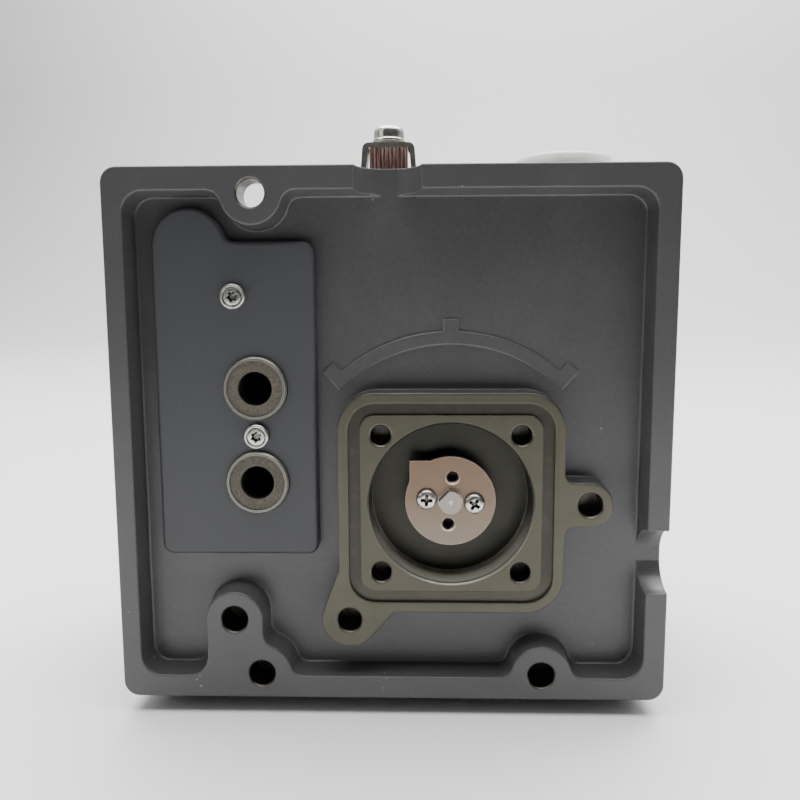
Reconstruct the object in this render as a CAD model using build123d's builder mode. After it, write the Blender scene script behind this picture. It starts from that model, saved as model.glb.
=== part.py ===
from build123d import *
from math import acos, asin, cos, degrees, hypot, pi, radians, sin, sqrt, tan
import os

# Valve positioner, standing as in the picture with its mounting side towards -Y.
# Origin on the feedback shaft's axis, at the mounting flange's face. Millimetres.

# Rear frame, measured from the shaft's axis
axis_to_left = 85.6
axis_to_right = 55.0
axis_to_top = 83.85
axis_to_bottom = 51.75
frame_corner = 4.0
frame_wall_left = 4.9
frame_wall_right = 5.5
frame_wall_top = 5.9
frame_wall_bottom = 5.8
tray_depth = 8.0
tray_draft = 4.0
tray_corner = 5.5
floor_thickness = 4.0
floor_skin = 0.6
web_half = 1.5
web_margin = 2.0
notch_past_wall = 1.2
edge_break = 0.4
foot_blend = 0.5
hole_past_screw = 2.0

# M8 bosses that grow out of the rim, and the upper one beside them
m8_tap_radius = 3.4
m8_boss_radius = 7.7
m8_depth = 10.0
m8_plate = 8.8
m8_spot_radius = 7.0
boss_top_left = (-48.9, 77.27)
boss_bottom_left = (-49.1, -45.27)
boss_bottom_right = (23.5, -45.27)
boss_upper = (-55.9, -30.6)
boss_upper_radius = 7.3
boss_blend = 3.8
hole_chamfer = 0.4

# Half-round notches in the top and right walls
notch_radius = 8.25
notch_top_x = -15.55
notch_right_z = -14.85

# Mounting flange: four M6 holes on a 50 mm circle, a seal groove and a round recess
flange_half_width = 28.6
flange_half_height = 28.45
flange_corner = 9.6
flange_land = 2.65
groove_width = 3.05
groove_depth = 1.2
pad_corner = 3.6
recess_radius = 20.7
recess_depth = 10.5
flange_pcd = 50.0
m6_tap_radius = 2.5
m6_depth = 8.0
lug_right_gap = 6.5
lug_right_reach = flange_half_width + lug_right_gap
lug_right_radius = 5.65
lug_right_blend = 2.6
lug_left_inset = 2.65
lug_left_drop = 2.11
lug_left = (lug_left_inset - flange_half_width, -flange_half_height - lug_left_drop)
lug_left_radius = 7.2
lug_left_side_z = -17.0
lug_left_foot_x = -14.5
lug_hole_radius = 3.05
lug_right_depth = 8.0
lug_left_depth = 9.0

# Raised travel mark on the tray's floor
mark_inner = 40.2
mark_outer = 43.4
mark_tab_outer = 46.4
mark_tab_width = 3.6
mark_half_angle = 45.0
mark_height = 0.6

# Front compartment
body_side_inset = 2.0
body_top = 68.0
body_bottom = 56.35
body_front = 62.0
web_places = (-73.6, -36.0, 8.0, 49.0)
body_wall = 3.5
body_corner = 7.0
gasket_width = 2.0
gasket_depth = 1.6
gasket_gap = 0.1
gasket_inset = 0.8

# Feedback shaft, its bushes and the driver that the valve's stem turns
shaft_end = 1.8
shaft_tip_radius = 2.95
shaft_flat = 2.3
shaft_flat_angle = 135.0
centre_mark = 0.7
centre_mark_taper = 30.0
journal_radius = 4.0
journal_start = 9.9
shaft_front = 43.2
running_gap = 0.03
bush_radius = 5.6
bush_length = 7.0
bush_collar = 7.4
bush_collar_length = 1.0
bearing_radius = 11.0
bearing_front = 31.0
recess_back_radius = 24.0
recess_back_thickness = 3.0
seal_length = 3.0
ring_thickness = 0.9
ring_groove = 0.6
ring_reach = 1.8
disc_face = 4.0
disc_thickness = 1.5
disc_radius = 11.8
pointer_half = 10.65
hub_radius = 11.2
hub_length = 3.0
hub_neck_radius = 6.0
driver_screw_reach = 6.15
driver_turn = -5.0
m3_radius = 1.5
m3_tap_radius = 1.25
disc_screw_head = 2.75
disc_screw_height = 1.7
disc_screw_rest = 0.6
hub_edge = 0.6
hub_blind = 0.4
tap_mouth = 0.45

# Gears: 40 teeth on the shaft drive 20 on the sensor
gear_module = 1.0
gear_teeth = 40
pinion_teeth = 20
pressure_angle = 20.0
backlash = 0.5
gear_start = 34.5
gear_width = 4.0
gear_hub_radius = 7.0
gear_hub_length = 2.6
gear_windows = 6
gear_window_radius = 3.7
sensor_angle = -36.87

# Angle sensor on its bracket
sensor_radius = 10.5
sensor_length = 12.0
sensor_neck_radius = 3.5
sensor_edge = 1.0
sensor_neck_past_nut = 0.5
sensor_leads_width = 8.0
sensor_leads_height = 5.0
sensor_leads_sink = 3.0
sensor_leads_length = 1.5
sensor_floor = 2.0
sensor_shaft_end_gap = 0.2
sensor_shaft_proud = 1.0
sensor_shaft_radius = 1.5
bracket_start = 29.0
bracket_thickness = 1.5
bracket_radius = 12.5
bracket_ear = 15.5
bracket_ear_radius = 4.2
sensor_nut_flats = 10.0
sensor_nut_height = 2.0

# Rear cover plate with its screws, port sleeves and flat seals
plate_left = 75.2
plate_right = 34.2
plate_bottom = 14.45
plate_top = 66.1
plate_height = 4.0
plate_corner = 2.7
plate_edge = 1.2
lobe_radius = 9.5
lobe_centre_z = 64.9
lobe_blend = 2.5
lobe_root = 8.0
plate_gap = 0.15
plate_screws = [(-54.6, 52.4), (-49.5, 16.95)]
plate_screw_head = 3.25
plate_screw_height = 1.8
plate_screw_length = 7.0
port_x = -49.6
port_upper_z = 29.2
port_pitch = 24.3
sleeve_radius = 8.1
sleeve_face = 2.5
sleeve_neck_radius = 6.5
sleeve_end = 16.0
sleeve_chamfer = 0.35
end_gap = 0.2
port_bore = 4.3
seat_radius = 7.2
seat_depth = 1.2
seat_seal_thickness = 0.8
fit_gap = 0.05
press_gap = 0.01
hole_gap = 0.15

# Pneumatic manifold with converter and booster
manifold_left = 77.0
manifold_right = 38.0
manifold_bottom = 20.0
manifold_top = 54.0
manifold_front = 31.0
manifold_seal = 0.5
manifold_corner = 3.0
passage_depth = 24.0
manifold_screw_inset = 4.0
manifold_screw_sink = 4.2
manifold_screw_hold = 2.4
m4_radius = 2.0
m4_head_radius = 3.5
m4_head_height = 4.0
m4_socket_flats = 3.0
converter_x = -57.5
converter_z = 34.0
converter_radius = 12.0
converter_length = 19.0
converter_foot = 4.0
converter_step = 1.0
converter_edge = 1.5
foot_corner = 4.0
plug_socket_width = 9.0
plug_socket_height = 4.0
plug_socket_length = 3.0
booster_x = -57.5
booster_z = -1.0
booster_width = 23.0
booster_height = 30.0
booster_length = 12.0
diaphragm_radius = 11.0
diaphragm_length = 2.0
booster_cap_length = 6.0
booster_cap_edge = 2.5

# Side ports for the air lines, G1/4
air_port_radius = 5.72
air_port_y = 46.0
air_port_pitch = 25.0
air_port_middle_z = 9.0
air_ports = 3
port_block_reach = 15.6
port_block_half_depth = 11.0
port_pad_margin = 12.0
port_pad_corner = 4.0

# Conduit entries, earth terminal and vent
conduit_x = 32.9
conduit_y = 38.0
conduit_radius = 9.25
conduit_boss_radius = 12.4
conduit_top = 86.6
cap_flange_radius = 13.4
cap_flange_height = 5.0
cap_dome = 1.4
cap_wall = 1.6
cap_depth = 12.0
cap_gap = 0.1
plug_z = 26.0
plug_y = 38.0
plug_pad_radius = 14.0
plug_flats = 24.0
plug_head = 3.6
plug_washer = 1.2
vent_z = -26.0
vent_y = 38.0
vent_radius = 4.8
vent_flats = 12.0
vent_head = 3.0
vent_dome = 3.6
vent_edge = 2.0
earth_x = -15.85
earth_y = 18.0
earth_boss_half = 9.4
earth_boss_front = 27.0
earth_block_width = 9.7
earth_block_depth = 9.0
earth_block_height = 6.2
earth_rib_pitch = 1.0
earth_rib_depth = 0.3
saddle_sheet = 1.3
saddle_width = 14.2
saddle_bend = 0.4
saddle_lift = 1.0
earth_screw_radius = 2.4
earth_screw_gap = 0.08
earth_screw_depth = 9.0
earth_washer_thickness = 0.6
earth_washer_reach = 0.25
earth_head_edge = 1.1
earth_rib_width = 0.4
saddle_lean = 0.5
earth_head_radius = 4.15
earth_head_height = 4.0
slot_width = 1.3
slot_depth = 1.6

# Circuit board, display panel and keys
post_radius = 3.6
post_hole_depth = 8.0
post_screw_hold = 6.0
post_front = 44.0
board_thickness = 1.6
board_margin = 4.0
board_corner = 2.0
chips = [((-18, 38), (10, 7)), ((-20, 26), (10, 7)), ((34, 6), (7, 5))]
chip_thickness = 1.5
post_left = -30.0
post_right = 38.0
post_low = -34.0
post_mid = 22.0
post_high = 52.0
standoff_flats = 5.5
panel_back = 60.0
panel_thickness = 2.5
panel_bezel = 1.5
panel_corner = 3.0
head_chamfer = 0.4
head_rounding = 0.35
cross_slot = 0.75
small_cross_arm = 1.3
large_cross_arm = 1.5
small_head_radius = 2.8
small_head_height = 1.9
small_socket_flats = 2.5
display_x = 4.0
display_z = 4.0
display_width = 52.0
display_height = 26.0
display_thickness = 5.0
display_border = 3.0
display_inset = 3.2
display_corner = 1.5
display_board_margin = 2.0
bezel_margin = 1.0
bezel_corner = 2.0
key_rim = 1.6
display_board_thickness = 1.6
header_width = 40.0
header_height = 3.0
key_z = -24.0
key_pitch = 14.0
keys = ["key_mode", "key_enter", "key_up", "key_down"]
key_radius = 3.6
key_gap = 0.2
key_stem = 2.6
key_play = 0.3
key_collar = 5.0
key_collar_length = 1.6
key_proud = 3.0
key_travel = 1.2
switch_side = 6.0
switch_height = 3.4
plunger_height = 0.6
terminal_count = 6
terminal_pitch = 5.5
terminal_depth = 12.0
terminal_height = 11.0
terminal_well = 2.0
terminal_well_depth = 4.0
wire_hole_width = 3.6
wire_hole_height = 4.0
terminal_screw_radius = 1.9
terminal_screw_length = 2.4
terminal_slot_width = 0.6
terminal_slot_depth = 1.0
terminal_x = 0.0
terminal_z = 45.5

# Front cover with its window and captive screws
cover_depth = 20.0
cover_wall = 3.0
cover_draft = 2.0
cover_edge = 3.0
cover_lift_off_base = 0.5
corner_post_inset = 4.3
corner_post_radius = 5.2
screw_pocket_radius = 5.2
screw_pocket_wall = 1.8
screw_shelf = 6.0
m5_radius = 2.5
m5_head_radius = 4.25
m5_head_height = 5.0
m5_socket_flats = 4.0
m5_gap = 0.3
m5_grip = 12.0
window_width = 60.0
window_height = 34.0
window_corner = 4.0
window_overlap = 3.5
window_rim = 2.5
window_rim_height = 1.0
window_seal_thickness = 1.0
pane_thickness = 3.0
retainer_thickness = 2.0
retainer_border = 6.0
retainer_lip = 0.5
retainer_post_radius = 3.0
retainer_screw_rest = 0.4

# Values worked out from the ones above
frame_width = axis_to_left + axis_to_right
frame_height = axis_to_top + axis_to_bottom
frame_x = (axis_to_right - axis_to_left) / 2
frame_z = (axis_to_top - axis_to_bottom) / 2
tray_left = frame_wall_left - axis_to_left
tray_right = axis_to_right - frame_wall_right
tray_top = axis_to_top - frame_wall_top
tray_bottom = frame_wall_bottom - axis_to_bottom
floor_front = tray_depth + floor_thickness
body_left = body_side_inset - axis_to_left
body_right = axis_to_right - body_side_inset
body_width = body_right - body_left
body_height = body_top + body_bottom
body_x = (body_left + body_right) / 2
body_z = (body_top - body_bottom) / 2
room_left = body_left + body_wall
room_right = body_right - body_wall
room_top = body_top - body_wall
room_bottom = body_wall - body_bottom
corner_posts = [
    (x, z)
    for x in (room_left + corner_post_inset, room_right - corner_post_inset)
    for z in (room_bottom + corner_post_inset, room_top - corner_post_inset)
]
flange_holes = [(sx * flange_pcd / sqrt(8), sz * flange_pcd / sqrt(8)) for sx in (-1, 1) for sz in (-1, 1)]
port_places = [(port_x, port_upper_z), (port_x, port_upper_z - port_pitch)]
bearing_start = recess_depth
shaft_rings = [
    (bearing_front + bush_collar_length + 0.2, journal_radius),
    (gear_start + gear_width + gear_hub_length + 0.1, shaft_tip_radius),
]
manifold_x = -(manifold_left + manifold_right) / 2
manifold_z = (manifold_top - manifold_bottom) / 2
manifold_spots = [
    (x, z)
    for x in (manifold_screw_inset - manifold_left, -manifold_right - manifold_screw_inset)
    for z in (manifold_screw_inset - manifold_bottom, manifold_top - manifold_screw_inset)
]
bush_bore = journal_radius + running_gap
disc_back = disc_face + disc_thickness
gear_radius = gear_module * gear_teeth / 2
pinion_radius = gear_module * pinion_teeth / 2
gear_centres = gear_radius + pinion_radius
sensor_x = gear_centres * cos(radians(sensor_angle))
sensor_z = gear_centres * sin(radians(sensor_angle))
bracket_front = bracket_start + bracket_thickness
sensor_back = bracket_start - sensor_length
manifold_back = floor_front + manifold_seal
board_front = post_front + board_thickness
panel_front = panel_back + panel_thickness
cover_front = body_front + cover_depth
ceiling = cover_front - cover_wall
board_posts = [(x, z) for x in (post_left, post_right) for z in (post_low, post_mid, post_high)]
panel_posts = [(x, z) for x in (post_left, post_right) for z in (post_low, post_mid)]
key_places = [display_x + (i - (len(keys) - 1) / 2) * key_pitch for i in range(len(keys))]
switch_top = board_front + switch_height
key_back = switch_top + key_travel + 0.2


def rear(y):
    """Plane at depth y that faces the mounting side, with X to the right and Z up."""
    return Plane(origin=(0, y, 0), x_dir=(1, 0, 0), z_dir=(0, -1, 0))


def side(x):
    """Plane at x that faces +X, with Y to the right and Z up."""
    return Plane(origin=(x, 0, 0), x_dir=(0, 1, 0), z_dir=(1, 0, 0))


def turned(angle, reach):
    """Point at an angle and distance from the shaft's axis, in the rear plane."""
    return (reach * cos(radians(angle)), reach * sin(radians(angle)))


def tangent_point(centre, radius, point, turn):
    """Where a line from point touches a circle, on the side given by turn."""
    dx = point[0] - centre[0]
    dz = point[1] - centre[1]
    reach = hypot(dx, dz)
    swing = turn * acos(radius / reach)
    ux = (dx * cos(swing) - dz * sin(swing)) / reach
    uz = (dx * sin(swing) + dz * cos(swing)) / reach
    return (centre[0] + radius * ux, centre[1] + radius * uz)


def save(part, name):
    """Label a finished piece and write its STEP file."""
    part.label = name
    export_step(part, f"parts/{name}.step")


def near(vertex_list, points, reach):
    """A sketch's corners that lie within reach of any of the points, in the sketch's own axes."""
    return [
        v for v in vertex_list
        if any(hypot(v.X - p[0], v.Y - p[1]) < reach for p in points)
    ]


def screw(name, places, head_back, head_radius, head_height, shank_radius, shank_end, arm):
    """Screws seen from the rear, as one node of separate solids."""
    with BuildPart() as group:
        with BuildSketch(rear(head_back - head_height)):
            with Locations(*places):
                Circle(head_radius)
        extrude(amount=-head_height)
        fillet(group.edges().filter_by(GeomType.CIRCLE).group_by(Axis.Y)[0], head_height * head_rounding)
        with BuildSketch(rear(head_back)):
            with Locations(*places):
                Circle(shank_radius)
        extrude(amount=head_back - shank_end)
        with BuildSketch(rear(head_back - head_height)):
            with Locations(*places):
                Rectangle(2 * arm, cross_slot)
                Rectangle(cross_slot, 2 * arm)
        extrude(amount=-head_height / 2, mode=Mode.SUBTRACT)
    save(group.part, name)


os.makedirs("parts", exist_ok=True)

# Housing: one aluminium die casting with the rear frame, flange and front compartment
bl_flank_x = boss_upper[0] + boss_upper_radius
bl_left_x = boss_upper[0] - boss_upper_radius
with BuildPart() as housing:
    with BuildSketch(rear(0)):
        with Locations((frame_x, frame_z)):
            RectangleRounded(frame_width, frame_height, frame_corner)
    extrude(amount=-floor_front)
    fillet(housing.edges().group_by(Axis.Y)[0], edge_break)
    with BuildSketch(rear(floor_front)):
        with Locations((body_x, body_z)):
            RectangleRounded(body_width, body_height, body_corner)
    extrude(amount=floor_front - body_front)
    with BuildSketch(rear(0)) as tray:
        with Locations(((tray_left + tray_right) / 2, (tray_top + tray_bottom) / 2)):
            RectangleRounded(tray_right - tray_left, tray_top - tray_bottom, tray_corner)
        with Locations(boss_top_left, boss_bottom_left, boss_bottom_right):
            Circle(m8_boss_radius, mode=Mode.SUBTRACT)
        with Locations(boss_upper):
            Circle(boss_upper_radius, mode=Mode.SUBTRACT)
        with Locations((boss_upper[0], (boss_upper[1] + tray_bottom) / 2)):
            Rectangle(2 * boss_upper_radius, boss_upper[1] - tray_bottom, mode=Mode.SUBTRACT)
        flank_z = boss_bottom_left[1] + sqrt(m8_boss_radius**2 - (bl_flank_x - boss_bottom_left[0])**2)
        corners = [
            (boss_top_left[0] - m8_boss_radius, tray_top),
            (boss_top_left[0] + m8_boss_radius, tray_top),
            (bl_flank_x, flank_z),
            (boss_bottom_left[0] + m8_boss_radius, tray_bottom),
            (boss_bottom_right[0] - m8_boss_radius, tray_bottom),
            (boss_bottom_right[0] + m8_boss_radius, tray_bottom),
        ]
        fillet(near(tray.vertices(), corners, 1.0), boss_blend)
        fillet(near(tray.vertices(), [(bl_left_x, tray_bottom)], 1.0), tray_corner)
    extrude(amount=-tray_depth, taper=tray_draft, mode=Mode.SUBTRACT)
    fillet(housing.faces().group_by(Axis.Y)[0][0].inner_wires()[0].edges(), edge_break)
    tray_floor = housing.faces().filter_by_position(Axis.Y, tray_depth - fit_gap, tray_depth + fit_gap)[0]
    fillet(tray_floor.outer_wire().edges(), foot_blend)
    with BuildSketch(rear(0)) as flange:
        RectangleRounded(2 * flange_half_width, 2 * flange_half_height, flange_corner)
        with Locations((lug_right_reach / 2, 0)):
            Rectangle(lug_right_reach, 2 * lug_right_radius)
        neck = [(flange_half_width, lug_right_radius), (flange_half_width, -lug_right_radius)]
        fillet(near(flange.vertices(), neck, 0.2), lug_right_blend)
        with Locations((lug_right_reach, 0)):
            Circle(lug_right_radius)
        with Locations(lug_left):
            Circle(lug_left_radius)
        side_point = (-flange_half_width, lug_left_side_z)
        foot_point = (lug_left_foot_x, -flange_half_height)
        with BuildLine():
            Polyline(
                (lug_left_foot_x, lug_left_side_z),
                side_point,
                tangent_point(lug_left, lug_left_radius, side_point, 1),
                lug_left,
                tangent_point(lug_left, lug_left_radius, foot_point, -1),
                foot_point,
                close=True,
            )
        make_face()
    extrude(amount=-tray_depth)
    flange_face = min(housing.faces().group_by(Axis.Y)[0], key=lambda f: hypot(f.center().X, f.center().Z))
    fillet(flange_face.outer_wire().edges(), edge_break)
    groove_outer = flange_land + groove_width
    with BuildSketch(rear(0)):
        RectangleRounded(
            2 * (flange_half_width - flange_land),
            2 * (flange_half_height - flange_land),
            flange_corner - flange_land,
        )
        RectangleRounded(
            2 * (flange_half_width - groove_outer),
            2 * (flange_half_height - groove_outer),
            pad_corner,
            mode=Mode.SUBTRACT,
        )
    extrude(amount=-groove_depth, mode=Mode.SUBTRACT)
    # Travel mark: an arc with a tab at its middle and one at each end
    end_turn = mark_half_angle - degrees(asin(mark_tab_width / 2 / mark_outer))
    with BuildSketch(rear(tray_depth)):
        with BuildLine():
            outer = CenterArc((0, 0), mark_outer, 90 - mark_half_angle, 2 * mark_half_angle)
            inner = CenterArc((0, 0), mark_inner, 90 - mark_half_angle, 2 * mark_half_angle)
            Line(outer @ 0, inner @ 0)
            Line(outer @ 1, inner @ 1)
        make_face()
        tab_middle = (mark_inner + mark_tab_outer) / 2
        for turn in (-end_turn, 0, end_turn):
            with Locations(Location((*turned(90 + turn, tab_middle), 0), turn)):
                Rectangle(mark_tab_width, mark_tab_outer - mark_inner)
    extrude(amount=mark_height)
    # The compartment's room, then what stands in it
    with BuildSketch(rear(floor_front)):
        with Locations((body_x, body_z)):
            RectangleRounded(body_width - 2 * body_wall, body_height - 2 * body_wall, body_corner - body_wall)
    extrude(amount=floor_front - body_front, mode=Mode.SUBTRACT)
    with BuildSketch(rear(floor_front)):
        with Locations(*corner_posts):
            Circle(corner_post_radius)
    extrude(amount=floor_front - body_front)
    with BuildSketch(rear(floor_front)):
        with Locations(*board_posts):
            Circle(post_radius)
    extrude(amount=floor_front - post_front)
    with BuildSketch(rear(floor_front)):
        Circle(recess_back_radius)
    extrude(amount=-recess_back_thickness)
    with BuildSketch(rear(floor_front)):
        Circle(bearing_radius)
    extrude(amount=floor_front - bearing_front)
    with BuildSketch(rear(floor_front)):
        with Locations((sensor_x, sensor_z)):
            with PolarLocations(bracket_ear, 2, start_angle=sensor_angle + 90):
                Circle(post_radius)
    extrude(amount=floor_front - bracket_start)
    # Block and outer pad for the three air ports
    port_span = (air_ports - 1) * air_port_pitch + 2 * port_pad_margin
    with BuildSketch(side(-axis_to_left)):
        with Locations((air_port_y, air_port_middle_z)):
            RectangleRounded(2 * port_block_half_depth, port_span, port_pad_corner)
    extrude(amount=port_block_reach)
    # Earth boss, conduit boss and the side entry's pad
    with BuildSketch(rear(floor_front)):
        with Locations((notch_top_x, (room_top + axis_to_top) / 2)):
            Rectangle(2 * earth_boss_half, axis_to_top - room_top)
    extrude(amount=floor_front - earth_boss_front)
    with BuildSketch(Plane.XY.offset(room_top)):
        with Locations((conduit_x, conduit_y)):
            Circle(conduit_boss_radius)
    extrude(amount=conduit_top - room_top)
    with BuildSketch(side(room_right)):
        with Locations((plug_y, plug_z)):
            Circle(plug_pad_radius)
    extrude(amount=axis_to_right - room_right)
    # Webs that stiffen the frame's upper edge behind
    web_reach = axis_to_top - body_top - web_margin
    for web_x in web_places:
        with BuildSketch(side(web_x)):
            with BuildLine():
                Polyline(
                    (floor_front, body_top - 1),
                    (floor_front + web_reach, body_top - 1),
                    (floor_front + web_reach, body_top),
                    (floor_front, body_top + web_reach),
                    close=True,
                )
            make_face()
        extrude(amount=web_half, both=True)
    # Holes seen from the rear
    with BuildSketch(rear(0)):
        Circle(recess_radius)
    extrude(amount=-recess_depth, mode=Mode.SUBTRACT)
    with BuildSketch(rear(recess_depth)):
        Circle(bush_radius)
    extrude(amount=recess_depth - bearing_front, mode=Mode.SUBTRACT)
    with BuildSketch(rear(0)):
        with Locations(*flange_holes):
            Circle(m6_tap_radius)
    extrude(amount=-m6_depth, mode=Mode.SUBTRACT)
    with BuildSketch(rear(0)):
        with Locations(boss_bottom_left, boss_bottom_right, boss_upper):
            Circle(m8_tap_radius)
    extrude(amount=-m8_depth, mode=Mode.SUBTRACT)
    for lug, depth in ((lug_left, lug_left_depth), ((lug_right_reach, 0), lug_right_depth)):
        with BuildSketch(rear(0)):
            with Locations(lug):
                Circle(lug_hole_radius)
        extrude(amount=-depth, mode=Mode.SUBTRACT)
    with BuildSketch(rear(0)):
        with Locations(boss_top_left):
            Circle(m8_tap_radius)
    extrude(amount=-floor_front, mode=Mode.SUBTRACT)
    with BuildSketch(rear(m8_plate)):
        with Locations(boss_top_left):
            Circle(m8_spot_radius)
    extrude(amount=m8_plate - floor_front, mode=Mode.SUBTRACT)
    mouth_radii = (m6_tap_radius, m8_tap_radius, lug_hole_radius, recess_radius)
    chamfer(
        [
            e for e in housing.edges().filter_by(GeomType.CIRCLE).group_by(Axis.Y)[0]
            if min(abs(e.radius - r) for r in mouth_radii) < fit_gap
        ],
        hole_chamfer,
    )
    with BuildSketch(rear(tray_depth)):
        with Locations(*plate_screws):
            Circle(m3_radius + fit_gap)
    extrude(amount=floor_skin - floor_thickness, mode=Mode.SUBTRACT)
    with BuildSketch(rear(tray_depth)):
        with Locations(*port_places):
            Circle(sleeve_neck_radius + fit_gap)
    extrude(amount=-floor_thickness, mode=Mode.SUBTRACT)
    # Half-round notches through the top and right walls
    with BuildSketch(Plane.XY.offset(tray_top - notch_past_wall)):
        with Locations((notch_top_x, 0)):
            Circle(notch_radius)
        with Locations((notch_top_x, tray_depth + notch_radius)):
            Rectangle(2 * notch_radius, 2 * notch_radius, mode=Mode.SUBTRACT)
    extrude(amount=frame_wall_top + 2 * notch_past_wall, mode=Mode.SUBTRACT)
    with BuildSketch(side(tray_right - notch_past_wall)):
        with Locations((0, notch_right_z)):
            Circle(notch_radius)
        with Locations((tray_depth + notch_radius, notch_right_z)):
            Rectangle(2 * notch_radius, 2 * notch_radius, mode=Mode.SUBTRACT)
    extrude(amount=frame_wall_right + 2 * notch_past_wall, mode=Mode.SUBTRACT)
    # Holes from the sides and the top
    with BuildSketch(side(-axis_to_left)):
        with Locations((air_port_y, air_port_middle_z)):
            with GridLocations(0, air_port_pitch, 1, air_ports):
                Circle(air_port_radius)
    extrude(amount=port_block_reach, mode=Mode.SUBTRACT)
    with BuildSketch(Plane.XY.offset(conduit_top)):
        with Locations((conduit_x, conduit_y)):
            Circle(conduit_radius)
    extrude(amount=room_top - conduit_top, mode=Mode.SUBTRACT)
    with BuildSketch(side(axis_to_right)):
        with Locations((plug_y, plug_z)):
            Circle(conduit_radius)
        with Locations((vent_y, vent_z)):
            Circle(vent_radius)
    extrude(amount=room_right - axis_to_right, mode=Mode.SUBTRACT)
    with BuildSketch(Plane.XY.offset(axis_to_top)):
        with Locations((earth_x, earth_y)):
            Circle(earth_screw_radius + earth_screw_gap)
    extrude(amount=-earth_screw_depth - hole_past_screw, mode=Mode.SUBTRACT)
    # Holes from the front
    with BuildSketch(rear(body_front)):
        with Locations(*corner_posts):
            Circle(m5_radius + fit_gap)
    extrude(amount=m5_grip + hole_past_screw, mode=Mode.SUBTRACT)
    with BuildSketch(rear(post_front)):
        with Locations(*board_posts):
            Circle(m3_radius + fit_gap)
    extrude(amount=post_hole_depth, mode=Mode.SUBTRACT)
    with BuildSketch(rear(bracket_start)):
        with Locations((sensor_x, sensor_z)):
            with PolarLocations(bracket_ear, 2, start_angle=sensor_angle + 90):
                Circle(m3_radius + fit_gap)
    extrude(amount=post_hole_depth, mode=Mode.SUBTRACT)
    with BuildSketch(rear(floor_front)):
        with Locations(*manifold_spots):
            Circle(m4_radius + fit_gap)
    extrude(amount=manifold_screw_hold + end_gap, mode=Mode.SUBTRACT)
    with BuildSketch(rear(body_front)):
        with Locations((body_x, body_z)):
            RectangleRounded(body_width - 2 * gasket_inset, body_height - 2 * gasket_inset, body_corner - gasket_inset)
            inner_inset = gasket_inset + gasket_width + 2 * gasket_gap
            RectangleRounded(
                body_width - 2 * inner_inset,
                body_height - 2 * inner_inset,
                body_corner - inner_inset,
                mode=Mode.SUBTRACT,
            )
    extrude(amount=gasket_depth, mode=Mode.SUBTRACT)
save(housing.part, "housing")

# Feedback shaft: turned in steps, with a flat on its rear end
with BuildPart() as feedback_shaft:
    with BuildSketch(rear(shaft_end)):
        Circle(shaft_tip_radius)
        with Locations(Location((*turned(shaft_flat_angle, shaft_flat + shaft_tip_radius), 0), shaft_flat_angle)):
            Rectangle(2 * shaft_tip_radius, 2 * shaft_tip_radius, mode=Mode.SUBTRACT)
    extrude(amount=shaft_end - journal_start)
    with BuildSketch(rear(journal_start)):
        Circle(journal_radius)
    extrude(amount=journal_start - gear_start)
    with BuildSketch(rear(gear_start)):
        Circle(shaft_tip_radius)
    extrude(amount=gear_start - shaft_front)
    for ring_start, stock in shaft_rings:
        with BuildSketch(rear(ring_start)):
            Circle(stock + 1)
            Circle(stock - ring_groove, mode=Mode.SUBTRACT)
        extrude(amount=-ring_thickness - 0.1, mode=Mode.SUBTRACT)
    chamfer(feedback_shaft.edges().group_by(Axis.Y)[-1], edge_break)
    with BuildSketch(rear(shaft_end)):
        Circle(centre_mark)
    extrude(amount=-centre_mark, taper=centre_mark_taper, mode=Mode.SUBTRACT)
save(feedback_shaft.part, "feedback_shaft")

# Spring rings that hold the shaft in its bushes and the gear on the shaft
with BuildPart() as retaining_rings:
    for ring_start, stock in shaft_rings:
        with BuildSketch(rear(ring_start + 0.05)):
            Circle(stock + ring_reach)
            Circle(stock - ring_groove + fit_gap, mode=Mode.SUBTRACT)
            with Locations((0, -stock - ring_reach)):
                Rectangle(stock, 2 * ring_reach + 2 * ring_groove + 1, mode=Mode.SUBTRACT)
        extrude(amount=-ring_thickness)
save(retaining_rings.part, "retaining_rings")

# Bushes pressed into the bearing boss, and the seal between them
with BuildPart() as rear_bush:
    with BuildSketch(rear(bearing_start)):
        Circle(bush_radius - press_gap)
        Circle(bush_bore, mode=Mode.SUBTRACT)
    extrude(amount=-bush_length)
save(rear_bush.part, "rear_bush")

with BuildPart() as front_bush:
    with BuildSketch(rear(bearing_front - bush_length)):
        Circle(bush_radius - press_gap)
        Circle(bush_bore, mode=Mode.SUBTRACT)
    extrude(amount=-bush_length)
    with BuildSketch(rear(bearing_front)):
        Circle(bush_collar)
        Circle(bush_bore, mode=Mode.SUBTRACT)
    extrude(amount=-bush_collar_length)
save(front_bush.part, "front_bush")

with BuildPart() as shaft_seal:
    with BuildSketch(rear(bearing_start + bush_length)):
        Circle(bush_radius - press_gap)
        Circle(bush_bore, mode=Mode.SUBTRACT)
    extrude(amount=-seal_length)
save(shaft_seal.part, "shaft_seal")

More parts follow.
